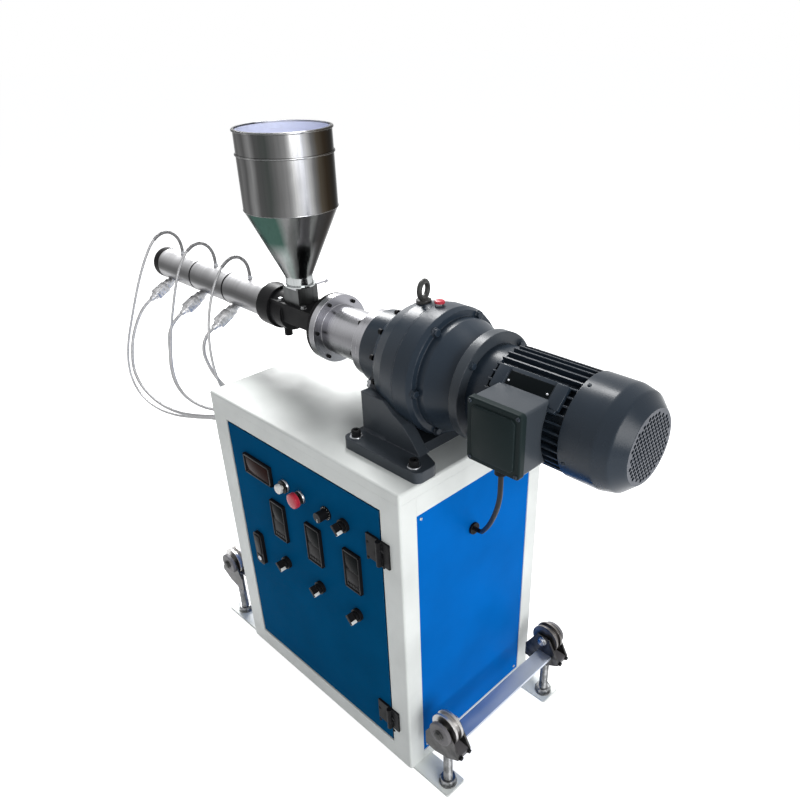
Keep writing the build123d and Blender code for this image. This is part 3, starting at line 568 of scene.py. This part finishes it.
def hex_head(mesh, place, towards, corner, high):
    """A hexagon bolt head on its washer."""
    where = standing(place, towards)
    seat = corner * 0.2
    stack(mesh, where, [(0, corner * 1.15), (corner * 0.16, corner * 1.15), (seat, corner * 1.08)])
    stack(mesh, where, [
        (seat, corner, HEX), (seat + high * 0.82, corner, HEX),
        (seat + high * 0.9, corner * 0.93), (seat + high, corner * 0.82),
    ])


def pan_screw(mesh, place, towards, radius):
    """A small domed screw with a hexagon recess."""
    stack(mesh, standing(place, towards), [
        (0, radius), (radius * 0.25, radius * 0.97), (radius * 0.5, radius * 0.8),
        (radius * 0.62, radius * 0.5), (radius * 0.62, radius * 0.4, HEX),
        (radius * 0.3, radius * 0.38, HEX),
    ])


def washer(mesh, place, towards, inner, outer, thick):
    stack(mesh, standing(place, towards), [
        (0, inner), (0, outer), (thick * 0.7, outer), (thick, outer - 0.4), (thick, inner),
    ], closed=True)


# Cords. Their routes are the ones in the CAD source.

ROUTES = {
    "heater_lead_1": [
        (-759.5, -86.43, 801.96), (-759.5, -107.81, 791.07), (-765, -132, 757), (-762, -155, 718),
        (-757, -170, 676), (-748, -180, 634), (-718, -181, 596), (-655, -176, 570),
        (-575, -166, 565), (-488, -153, 581), (-402, -137, 606), (-348, -131, 615),
        (-320, -131, 615),
    ],
    "heater_lead_2": [
        (-603, -86.43, 801.96), (-603, -107.81, 791.07), (-612, -126, 757), (-624, -126, 708),
        (-633, -129, 664), (-627, -130, 622), (-595, -128, 592), (-535, -119, 579),
        (-468, -107, 586), (-400, -96, 604), (-348, -93, 615), (-320, -93, 615),
    ],
    "heater_lead_3": [
        (-456, -86.43, 801.96), (-456, -107.81, 791.07), (-449, -126, 759), (-436, -124, 722),
        (-414, -118, 690), (-384, -108, 666), (-348, -105, 655), (-320, -105, 655),
    ],
    "probe_lead_1": [
        (-704.5, 0, 921), (-704.5, 0, 939), (-703, -8, 960), (-701, -27, 977), (-699, -53, 978),
        (-697, -80, 962), (-698, -105, 927), (-701, -129, 882), (-707, -150, 830),
        (-716, -168, 777), (-727, -184, 724), (-736, -193, 672), (-732, -197, 622),
        (-700, -196, 583), (-636, -190, 565), (-556, -180, 569), (-474, -168, 588),
        (-400, -155, 608), (-348, -150, 615), (-320, -150, 615),
    ],
    "probe_lead_2": [
        (-548, 0, 921), (-548, 0, 939), (-547, -8, 960), (-545, -27, 977), (-542, -53, 978),
        (-540, -80, 962), (-540, -103, 927), (-543, -119, 884), (-548, -132, 838),
        (-558, -140, 795), (-572, -143, 752), (-590, -142, 706), (-600, -141, 660),
        (-589, -140, 622), (-553, -137, 600), (-505, -131, 594), (-455, -123, 598),
        (-400, -115, 607), (-348, -112, 615), (-320, -112, 615),
    ],
    "probe_lead_3": [
        (-401, 0, 921), (-401, 0, 939), (-400, -8, 957), (-398, -26, 972), (-395, -51, 972),
        (-392, -77, 956), (-390, -102, 922), (-390, -121, 878), (-391, -132, 832),
        (-388, -139, 786), (-383, -141, 744), (-377, -139, 708), (-366, -133, 678),
        (-348, -125, 655), (-320, -125, 655),
    ],
    "motor_cable": [
        (445.5, -116, 804), (445.5, -116, 780), (441.74, -111.76, 751.53),
        (429.19, -103.28, 716.49), (410.36, -89.5, 681.45), (387.77, -71.48, 646.41),
        (362.67, -50.28, 613.56), (336.32, -25.9, 580.71), (320, -10, 561), (304, -10, 561),
    ],
}
# Diameter and length of each cord
CORD_SIZES = {
    "heater_lead_1": (8, 658), "heater_lead_2": (8, 523), "heater_lead_3": (8, 243),
    "probe_lead_1": (6, 926), "probe_lead_2": (6, 758), "probe_lead_3": (6, 466),
    "motor_cable": (9, 318),
}
# Spring guards on the probe leads: length in metres, then wire and room round the lead
GUARD_LENGTH = 0.110
GUARD_WIRE = 1.2
GUARD_ROOM = 0.5


def add_curve(name, kind, places, depth, rounds):
    """A round cord or wire through places, in metres, that isn't dressed yet."""
    data = bpy.data.curves.new(name, "CURVE")
    data.dimensions = "3D"
    data.bevel_depth = depth
    data.bevel_resolution = rounds
    spline = data.splines.new(kind)
    spline.points.add(len(places) - 1)
    for point, place in zip(spline.points, places):
        point.co = (*place, 1)
    made = bpy.data.objects.new(name, data)
    scene.collection.objects.link(made)
    return made, spline


def centre_line(curve):
    """Points of a curve's own line, in metres, read from a copy of it without thickness."""
    bare = curve.data.copy()
    bare.bevel_depth = 0
    ghost = bpy.data.objects.new("centre_line", bare)
    drawn = bpy.data.meshes.new_from_object(ghost)
    points = [vert.co.copy() for vert in drawn.vertices]
    bpy.data.objects.remove(ghost)
    bpy.data.curves.remove(bare)
    bpy.data.meshes.remove(drawn)
    return points


def spring_guard(name, line, radius, wire):
    """A close wound spring over the first stretch of a lead, where it leaves its probe."""
    points = []
    walked = turn = 0.0
    side = Vector(RIGHT)
    for start, end in zip(line, line[1:]):
        run = (end - start).length
        along = (end - start).normalized()
        side = (side - along * side.dot(along)).normalized()
        steps = max(2, round(run / wire * 8))
        for step in range(steps):
            across = Matrix.Rotation(turn, 3, along) @ side
            points.append(start.lerp(end, step / steps) + across * radius)
            turn += 2 * math.pi * run / steps / (wire * 1.12)
        walked += run
        if walked > GUARD_LENGTH:
            break
    guard, _ = add_curve(name, "POLY", points, wire / 2, 2)
    guard.data.materials.append(LOOKS["guard_steel"])
    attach(guard, "machine")
    return guard


def add_cords():
    for node, route in ROUTES.items():
        diameter, length = CORD_SIZES[node]
        slot = "black_rubber" if node == "motor_cable" else "braided_sleeve"
        places = [Vector(place) * MM for place in route]
        lead, spline = add_curve(node + "_line", "NURBS", places, diameter / 2 * MM, 5)
        lead.data.resolution_u = 12
        lead.data.use_fill_caps = True
        spline.order_u = 3
        spline.use_endpoint_u = True
        lead.data.materials.append(LOOKS[slot])
        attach(lead, "machine")
        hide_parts(node)
        if node.startswith("probe"):
            radius = (diameter / 2 + GUARD_ROOM) * MM
            guard = spring_guard(node + "_guard", centre_line(lead), radius, GUARD_WIRE * MM)


# Light and floor, in metres

WORLD_LIGHT = 0.29
FLOOR_HALF, FLOOR_DROP = 25, 0.0005
FLOOR_GREY = (0.70, 0.70, 0.70, 1)
FLOOR_GLOW = (0.80, 0.80, 0.80, 1)


def seen_rays(nodes, links):
    """1 for camera, glossy and transmission rays, 0 for the rays that light the object."""
    path = nodes.new("ShaderNodeLightPath")
    total = path.outputs["Is Camera Ray"]
    for name in ("Is Glossy Ray", "Is Transmission Ray"):
        either = nodes.new("ShaderNodeMath")
        either.operation = "MAXIMUM"
        links.new(total, either.inputs[0])
        links.new(path.outputs[name], either.inputs[1])
        total = either.outputs[0]
    return total


def add_world():
    """A white background, and a weaker light from all sides."""
    world = bpy.data.worlds.new("studio")
    world.use_nodes = True
    nodes, links = world.node_tree.nodes, world.node_tree.links
    light = nodes["Background"]
    light.inputs["Color"].default_value = (0.97, 0.98, 1.0, 1)
    light.inputs["Strength"].default_value = WORLD_LIGHT
    white = nodes.new("ShaderNodeBackground")
    white.inputs["Color"].default_value = (1, 1, 1, 1)
    white.inputs["Strength"].default_value = 1.0
    choose = nodes.new("ShaderNodeMixShader")
    links.new(seen_rays(nodes, links), choose.inputs[0])
    links.new(light.outputs[0], choose.inputs[1])
    links.new(white.outputs[0], choose.inputs[2])
    links.new(choose.outputs[0], nodes["World Output"].inputs["Surface"])
    scene.world = world


def add_floor():
    """A pale floor that shows white where the light is full and keeps the object's shadow."""
    mesh = bmesh.new()
    bmesh.ops.create_grid(mesh, x_segments=4, y_segments=4, size=FLOOR_HALF)
    data = bpy.data.meshes.new("floor")
    mesh.to_mesh(data)
    mesh.free()
    floor = bpy.data.objects.new("floor", data)
    floor.location.z = -FLOOR_DROP
    scene.collection.objects.link(floor)
    material = bpy.data.materials.new("floor")
    material.use_nodes = True
    nodes, links = material.node_tree.nodes, material.node_tree.links
    nodes.remove(nodes["Principled BSDF"])
    matt = nodes.new("ShaderNodeBsdfDiffuse")
    matt.inputs["Color"].default_value = FLOOR_GREY
    glow = nodes.new("ShaderNodeEmission")
    links.new(seen_rays(nodes, links), glow.inputs["Strength"])
    glow.inputs["Color"].default_value = FLOOR_GLOW
    both = nodes.new("ShaderNodeAddShader")
    links.new(matt.outputs[0], both.inputs[0])
    links.new(glow.outputs[0], both.inputs[1])
    links.new(both.outputs[0], nodes["Material Output"].inputs["Surface"])
    data.materials.append(material)


def add_lamp(name, place, target, along, size, power):
    """A rectangular lamp that faces its target, its first side laid along a direction."""
    data = bpy.data.lights.new(name, "AREA")
    data.shape = "RECTANGLE"
    data.size, data.size_y = size
    data.energy = power
    lamp = bpy.data.objects.new(name, data)
    aim = (Vector(place) - Vector(target)).normalized()
    across = aim.cross(Vector(along)).normalized()
    lamp.matrix_world = axes_at(place, across.cross(aim), across, aim)
    scene.collection.objects.link(lamp)


# Gearbox, motor and screw drive

# Bolt circles about the screw axis: (count, radius, x, first angle), facing, size of the head
CASE_CIRCLES = (((6, 110, 245), RIGHT, 7.5, 6), ((4, 90, 335, 45), RIGHT, 6.5, 5))
FLANGE_CIRCLES = (
    ((12, 94, 124, 15), LEFT, 7), ((6, 59, 32, 5), LEFT, 8), ((6, 62, -80, 53), RIGHT, 5),
    ((6, 58, -105, 30), LEFT, 9),
)


def drive_details():
    thick = 2.5
    screws, washers = bmesh.new(), bmesh.new()
    for x, y in FOOT_BOLTS:
        for side in SIDES:
            cap_screw(screws, (x, side * y, FOOT_TOP + thick), UP, 12)
            washer(washers, (x, side * y, FOOT_TOP), UP, 6.5, 12.5, thick)
    piece("foot_screws", screws, "black_hardware")
    piece("foot_washers", washers, "screw_zinc")

    for name, look, head, circles in (
        ("case_screws", "grey_casting", hex_head, CASE_CIRCLES),
        ("flange_screws", "black_hardware", cap_screw, FLANGE_CIRCLES),
    ):
        mesh = bmesh.new()
        for circle, facing, *size in circles:
            for place in circle_of(*circle):
                head(mesh, place, facing, *size)
        piece(name, mesh, look)

    x, y = 207, -3
    mesh = bmesh.new()
    stack(mesh, standing((x, y, 994), UP), [(0, 8, HEX), (4, 8, HEX), (4.6, 7)])
    piece("breather_base", mesh, "screw_zinc")
    mesh = bmesh.new()
    stack(mesh, standing((x, y, 998.4), UP), [
        (0, 8), (0.6, 9.6), (3.6, 9.6), (5, 8.6), (5.7, 6.5), (6, 3), (6.1, 0.4),
    ])
    piece("breather_cap", mesh, "red_plastic")

    outward = away(208.5)
    seat = Vector((97, 0, SCREW_AXIS)) + outward * 86
    mesh = bmesh.new()
    stack(mesh, standing(seat, outward), [(-14, 10.5), (0, 9.5), (1, 8.5)])
    piece("oil_boss", mesh, "grey_casting")
    mesh = bmesh.new()
    washer(mesh, seat, outward, 6, 10, 3)
    hex_head(mesh, seat + outward * 2, outward, 6.4, 6)
    piece("oil_plug", mesh, "screw_zinc")


def motor_details():
    mesh = bmesh.new()
    prism(mesh, facing_front(LID_X, LID_FRONT, LID_Z), [
        (-42, -40), (-36, -46), (36, -46), (42, -40), (42, 40), (36, 46), (-36, 46), (-42, 40),
    ], -1.5, 3, soften=2)
    piece("lid_panel", mesh, "box_paint")
    mesh = bmesh.new()
    for x in (-46, 46):
        for z in (-49.5, 49.5):
            pan_screw(mesh, (LID_X + x, LID_FRONT, LID_Z + z), FRONT, 3.6)
    cowl_x = 536
    for place in circle_of(4, 88, cowl_x, 20):
        pan_screw(mesh, place, Vector(place) - Vector((cowl_x, 0, SCREW_AXIS)), 3.2)
    piece("motor_screws", mesh, "motor_paint")

    outward = away(135)
    pad = standing(Vector((448, 0, SCREW_AXIS)), outward)
    plate_top = 87.8
    mesh = bmesh.new()
    slab(mesh, pad, (-62, -24, 74), (62, 24, 87), soften=1.2)
    for low, high in ((-66, -44), (44, 66)):
        slab(mesh, pad, (low, -19, 80), (high, 22, 89.5), soften=1.2)
    piece("name_pad", mesh, "motor_paint")
    mesh = bmesh.new()
    slab(mesh, pad, (-41, -17, 86.6), (41, 17, plate_top), soften=0.4)
    piece("name_plate", mesh, "window")
    mesh = bmesh.new()
    for side in SIDES:
        pan_screw(mesh, pad @ Vector((side * 37, 0, plate_top)), outward, 2.2)
    piece("name_rivets", mesh, "screw_zinc")


def grille(mesh, where, front, rim):
    """A honeycomb of holes in a round plate, its outer faces in the second material: a lighter
    copy of the cover's paint, painted light.
    """
    pitch, hole, thick, rows = 8.6, 3.7, 2.5, 9
    spread = pitch / math.sqrt(3)
    spokes = [math.radians(60 * index + 30) for index in range(HEX)]
    for row in range(-rows, rows + 1):
        for column in range(-rows, rows + 1):
            u = pitch * (column + 0.5 * (row % 2))
            v = pitch * row * math.sqrt(3) / 2
            reach = math.hypot(u, v)
            if reach > rim + pitch * 0.4:
                continue
            outer, inner, deep = [], [], []
            for spoke in spokes:
                corner = Vector((u + spread * math.cos(spoke), v + spread * math.sin(spoke)))
                if corner.length > rim:
                    corner = corner.normalized() * rim
                outer.append(mesh.verts.new(where @ Vector((*corner, front))))
                edge = (u + hole * math.cos(spoke), v + hole * math.sin(spoke))
                inner.append(mesh.verts.new(where @ Vector((*edge, front))))
                deep.append(mesh.verts.new(where @ Vector((*edge, front - thick))))
            if reach > rim - pitch * 0.75:
                mesh.faces.new(outer).material_index = 1
                bmesh.ops.delete(mesh, geom=inner + deep, context="VERTS")
                continue
            for index in range(HEX):
                after = (index + 1) % HEX
                face = mesh.faces.new((outer[index], outer[after], inner[after], inner[index]))
                face.material_index = 1
                mesh.faces.new((inner[index], inner[after], deep[after], deep[index]))
    bmesh.ops.remove_doubles(mesh, verts=mesh.verts, dist=0.01)


def fan_cover():
    """A sheet cover with a honeycomb of holes in its end and the fan behind it."""
    left, right = (corner[0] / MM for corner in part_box("fan_cover"))
    where = standing((0, 0, SCREW_AXIS), RIGHT)
    rim = 61.6
    mesh = bmesh.new()
    stack(mesh, where, [
        (left, 86), (left, 88), (582, 88), (583, 88), (585.3, 87.75), (587.5, 87.35),
        (588.5, 87.1), (606, 82.75), (607, 82.5), (609, 81.75), (610.5, 80.6), (611.5, 79.65),
        (626, 65.8), (627.5, 64.4), (right, rim), (right - 1.5, 61), (600, 82), (584, 86),
    ], closed=True, count=72)
    grille(mesh, where, right, rim)
    cover = piece("fan_cowl", mesh, "motor_paint")
    # the grille's outer faces take the lighter copy of the paint: painted light
    cover.data.materials.append(LOOKS["grille_paint"])
    blades, root = 8, left + 34
    mesh = bmesh.new()
    stack(mesh, where, [
        (left + 1, 84), (left + 30, 84), (root, 30), (right - 18, 22), (right - 12, 12),
    ])
    for blade in range(blades):
        turned = spun(where, 360 / blades * blade)
        slab(mesh, turned, (14, -1.2, root), (76, 1.2, left + 68), soften=0.5)
    piece("cooling_fan", mesh, "black_plastic")
    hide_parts("fan_cover")


# Barrel, plugs and hopper

PLUG_TILT = math.radians(27)
PLUG_DROP = 29


def heater_plugs():
    """Cast plugs: a round neck at the band, a ribbed body with cover screws, and a cable tail."""
    towards = Vector((0, -math.cos(PLUG_TILT), -math.sin(PLUG_TILT)))
    frames = [standing((x, 0, SCREW_AXIS - PLUG_DROP), towards) for x in PLUG_XS]
    cover = 12.2
    mesh = bmesh.new()
    for where in frames:
        stack(mesh, where, [(14, 8.6), (22, 8.6), (22, 10), (27, 10), (27, 8.4), (30, 8.4)])
        slab(mesh, where, (-10, -9.5, 26), (10, 9.5, 44), soften=1.6)
        slab(mesh, where, (-13.5, -11, 41), (13.5, 11, 79), soften=3, steps=3)
        for rib in range(4):
            rise = 7.5 * rib
            slab(mesh, where, (-14, -9, 47 + rise), (14, 9, 49.5 + rise), soften=0.8)
        slab(mesh, where, (-9.5, -cover, 45), (9.5, cover, 74), soften=1)
        stack(mesh, where, [(77, 10.5), (84, 10.2), (85, 8.4), (86, 7.4), (95, 6.6), (97, 5.4)])
    plugs = piece("plug_castings", mesh, "plug_metal")
    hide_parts("heater_plugs")
    mesh = bmesh.new()
    for where in frames:
        for side in SIDES:
            normal = where.to_3x3() @ Vector((0, side, 0))
            pan_screw(mesh, where @ Vector((0, side * cover, 60)), normal, 2.6)
    piece("plug_screws", mesh, "screw_zinc")


def barrel_details():
    mesh = bmesh.new()
    for x in PROBE_XS:
        where = standing((x, 0, SCREW_AXIS + BAND_RADIUS), UP)
        stack(mesh, where, [(0, 6.6, HEX), (3.6, 6.6, HEX), (4.2, 5.6)])
        stack(mesh, where, [(4.2, 5), (8.2, 5), (8.4, 4.2)])
    piece("probe_nuts", mesh, "screw_zinc")
    mesh = bmesh.new()
    for x in (HOPPER_X - 40, HOPPER_X + 40):
        for y in (-26, 26):
            hex_head(mesh, (x, y, 904), UP, 6, 5)
    piece("throat_screws", mesh, "jack_zinc")
    proud, bevel = BAND_RADIUS + 0.6, 0.8
    mesh = bmesh.new()
    for x, half in ((-622, 2.8), (-474, 2.8), (-790.4, 11.5)):
        stack(mesh, standing((x, 0, SCREW_AXIS), RIGHT), [
            (-half, 36), (-half, BAND_RADIUS), (bevel - half, proud), (half - bevel, proud),
            (half, BAND_RADIUS), (half, 36),
        ], closed=True, count=64)
    piece("band_joints", mesh, "joint_black")


# Height, radius and thickness of the beads rolled into the hopper's sheet
BEADS = ((1250.6, 95.6, 2.3), (1207, 95.4, 2.2), (1103, 94.6, 1.2))
BEAD_STEPS = 10


def hopper_details():
    axis = standing((HOPPER_X, 0, 0), UP)
    mesh = bmesh.new()
    for height, radius, thick in BEADS:
        layers = []
        for step in range(BEAD_STEPS):
            angle = 2 * math.pi * step / BEAD_STEPS
            layers.append((height + thick * math.sin(angle), radius + thick * math.cos(angle)))
        stack(mesh, axis, layers, closed=True, count=96)
    piece("hopper_beads", mesh, "polished_stainless")
    # a thin sheet inside the hopper, coloured with the painted sheen of its polished inside
    mesh = bmesh.new()
    stack(mesh, axis, [
        (965, 26.9), (1103, 91.9), (1250, 91.9), (1250, 91.4), (1103, 91.3), (965, 26.3),
    ], closed=True, count=96)
    piece("hopper_lining", mesh, "hopper_lining")


# Cabinet

INSTRUMENT_OUT = 6


def bezel(mesh, where, half_wide, half_tall, side, top):
    """Four bars round an instrument's face."""
    for low, high in (
        ((-half_wide, half_tall - top), (half_wide, half_tall)),
        ((-half_wide, -half_tall), (half_wide, top - half_tall)),
        ((-half_wide, -half_tall), (side - half_wide, half_tall)),
        ((half_wide - side, -half_tall), (half_wide, half_tall)),
    ):
        slab(mesh, where, (*low, -2), (*high, 1.6))


def instrument_details():
    frames, glass, keys = bmesh.new(), bmesh.new(), bmesh.new()
    for x in CONTROLLER_XS:
        where = door_point(x, CONTROLLER_Z, INSTRUMENT_OUT)
        bezel(frames, where, 24, 48, 3.5, 4)
        slab(glass, where, (-18.5, 2, -1), (18.5, 41, 0.7), soften=0.5)
        slab(frames, where, (-18.5, -41, -1), (18.5, -1, 0.4), soften=0.5)
        for key in range(4):
            shift = 8.4 * key
            slab(keys, where, (-16 + shift, -38, 0), (-9.4 + shift, -32, 1.2), soften=0.4)
    where = door_point(*METER_PLACE, INSTRUMENT_OUT)
    bezel(frames, where, 48, 24, 5, 4)
    piece("instrument_frames", frames, "black_plastic", "door")
    piece("instrument_windows", glass, "window", "door")
    piece("instrument_keys", keys, "black_hardware", "door")
    mesh = bmesh.new()
    slab(mesh, where, (-40, -17, -1), (40, 17, 0.6), soften=0.5)
    piece("meter_window", mesh, "red_window", "door")


def button_details():
    mesh = bmesh.new()
    for place in (START_PLACE, STOP_PLACE):
        stack(mesh, door_point(*place), [
            (0, 15.5), (2, 15.5), (5, 14.4), (5, 12.2), (0.5, 12.2),
        ], closed=True, count=36)
    piece("button_collars", mesh, "screw_zinc", "door")
    for name, place, radius, front, look in (
        ("start", START_PLACE, 11, 20, "white_plastic"),
        ("stop", STOP_PLACE, 17, 23, "red_plastic"),
    ):
        mesh = bmesh.new()
        stack(mesh, door_point(*place, front), [
            (-0.4, radius - 0.2), (0.6, radius - 1), (1.4, radius * 0.8), (2.0, radius * 0.5),
            (2.2, radius * 0.12),
        ], count=36)
        piece(name + "_dome", mesh, look, name + "_button")


def knob_details():
    for number, place in enumerate(SELECTOR_PLACES, start=1):
        mesh = bmesh.new()
        turned = spun(door_point(*place, 8.8), 45)
        slab(mesh, turned, (-3.9, -12.3, 4.6), (3.9, -5.5, 17.9), soften=0.8)
        knob = f"selector_knob_{number}"
        piece(f"selector_tip_{number}", mesh, "white_plastic", knob)
    mesh = bmesh.new()
    slab(mesh, door_point(*SPEED_PLACE, 23.8), (-0.9, -11, -4), (0.9, -2, 0.3), soften=0.2)
    piece("speed_pointer", mesh, "white_plastic", "speed_knob")
    mesh = bmesh.new()
    for mark in range(11):
        turned = spun(door_point(*SPEED_PLACE, 3), -135 + 27 * mark)
        slab(mesh, turned, (-0.4, 12, -0.4), (0.4, 14.2, 0.25), soften=0.1, steps=1)
    piece("speed_marks", mesh, "white_plastic", "door")


DOOR_EDGE, FRAME_EDGE = 243, 252
HINGE_ZS = (134, 586)


def lock_and_hinge_details():
    mesh = bmesh.new()
    where = door_point(LOCK_X, 362, 9)
    slab(mesh, where, (-10, -14, -3), (10, 38, 2.2), soften=1.4)
    slab(mesh, where, (-10, -38, -3), (10, -18, 1.2), soften=1)
    piece("lock_paddle", mesh, "black_hardware", "door")
    mesh = bmesh.new()
    stack(mesh, door_point(LOCK_X, 334, 10), [
        (0, 6), (1.2, 6), (1.6, 5.4), (1.6, 3), (0.6, 2.8, 4),
    ])
    piece("lock_cylinder", mesh, "screw_zinc", "door")
    for body, node in (("door", "hinge_door_leaves"), ("machine", "hinge_frame_leaves")):
        low, high = corners(node)
        x = (low.x + DOOR_EDGE) / 2 - 4 if body == "door" else (high.x + FRAME_EDGE) / 2 + 3
        mesh = bmesh.new()
        for z in HINGE_ZS:
            for rise in (-18, 18):
                pan_screw(mesh, (x, low.y + 1, z + rise), FRONT, 3.6)
        piece("hinge_screws_" + body, mesh, "black_hardware", body)


PANEL_INSET = 12
# The leads' glands on the left end panel: y, z
GLANDS = ((-131, 615), (-93, 615), (-105, 655), (-150, 615), (-112, 615), (-125, 655))


def panel_details():
    mesh = bmesh.new()
    for node, facing in (("right_end_panel", RIGHT), ("left_end_panel", LEFT)):
        low, high = corners(node)
        x = high.x if facing == RIGHT else low.x
        for y in (low.y + PANEL_INSET, high.y - PANEL_INSET):
            for z in (low.z + PANEL_INSET, high.z - PANEL_INSET):
                pan_screw(mesh, (x, y, z), facing, 3.4)
    low, high = corners("back_panel")
    for x in (low.x + PANEL_INSET, (low.x + high.x) / 2, high.x - PANEL_INSET):
        for z in (low.z + PANEL_INSET, (low.z + high.z) / 2, high.z - PANEL_INSET):
            pan_screw(mesh, (x, high.y, z), BACK, 3)
    piece("panel_screws", mesh, "screw_zinc")

    mesh = bmesh.new()
    for y, z in GLANDS:
        stack(mesh, standing((-300, y, z), LEFT), [(0, 9, HEX), (6, 9, HEX), (6.6, 8)])
    piece("gland_nuts", mesh, "black_plastic")
    mesh = bmesh.new()
    stack(mesh, standing((LID_X, -116, 824), DOWN), [(0, 13, HEX), (7, 13, HEX), (8, 11.6)])
    washer(mesh, (300.5, -10, 561), RIGHT, 6, 13, 3.5)
    piece("cable_nuts", mesh, "black_plastic")


# Undercarriage

HUB_Z, AXLE_Z = 183, 185


def wheel_details():
    caps, heads, nuts, ends = (bmesh.new() for _ in range(4))
    for x in WHEEL_XS:
        outward = 1 if x > 0 else -1
        for side in SIDES:
            stack(caps, standing((x, side * 189, HUB_Z), (0, side, 0)), [
                (0, 27), (6.6, 27), (8, 25.4), (8, 15), (7, 14), (7, 1),
            ], count=40)
            hex_head(heads, (x, side * 196, HUB_Z), (0, side, 0), 9.5, 5)
            hex_head(nuts, (x, side * 151, AXLE_Z), (0, -side, 0), 9.5, 6)
            for y in (side * 158, side * 182):
                hex_head(ends, (x + outward * 46, y, 140), (outward, 0, 0), 5, 4)
    piece("hub_caps", caps, "web_steel")
    piece("axle_heads", heads, "dark_steel")
    piece("axle_nuts", nuts, "screw_zinc")
    piece("fork_end_bolts", ends, "black_hardware")


def jack_bolts():
    """Threaded rods, each with a washer and a nut on its ground bar."""
    low, high = (corner[2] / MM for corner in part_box("jack_bolts"))
    pitch, crest, root = 3.0, 10, 8.8
    thread = [(low, root)]
    for turn in range(int((high - low) / pitch)):
        for share, radius in ((0.3, crest), (0.6, crest), (0.9, root)):
            thread.append((low + pitch * (turn + share), radius))
    thread.append((high, root))
    mesh = bmesh.new()
    for x in WHEEL_XS:
        for y in JACK_YS:
            where = standing((x, y, 0), UP)
            stack(mesh, where, thread)
            stack(mesh, where, [(low, 19.6), (low + 2.2, 19.6), (low + 2.6, 19)])
            stack(mesh, where, [
                (low + 2.6, 16.5), (low + 3.8, 18.8, HEX), (low + 14.6, 18.8, HEX),
                (low + 15.8, 16), (low + 15.8, 11),
            ])
    rods = piece("jack_rods", mesh, "jack_zinc")
    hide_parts("jack_bolts")


add_camera()
add_world()
add_floor()
add_lamp(
    "key", place=(3.25, -0.7, 1.75), target=(0, 0, 0.7), along=BACK, size=(1.8, 1.8), power=75
)
add_lamp(
    "sky", place=(-2.1, 1.4, 3.4), target=(0.1, 0, 0.9), along=(-0.93, 0.37, 0), size=(3.4, 0.9),
    power=225,
)
dress_nodes()
add_cords()
drive_details()
motor_details()
fan_cover()
heater_plugs()
barrel_details()
hopper_details()
instrument_details()
button_details()
knob_details()
lock_and_hinge_details()
panel_details()
wheel_details()
jack_bolts()
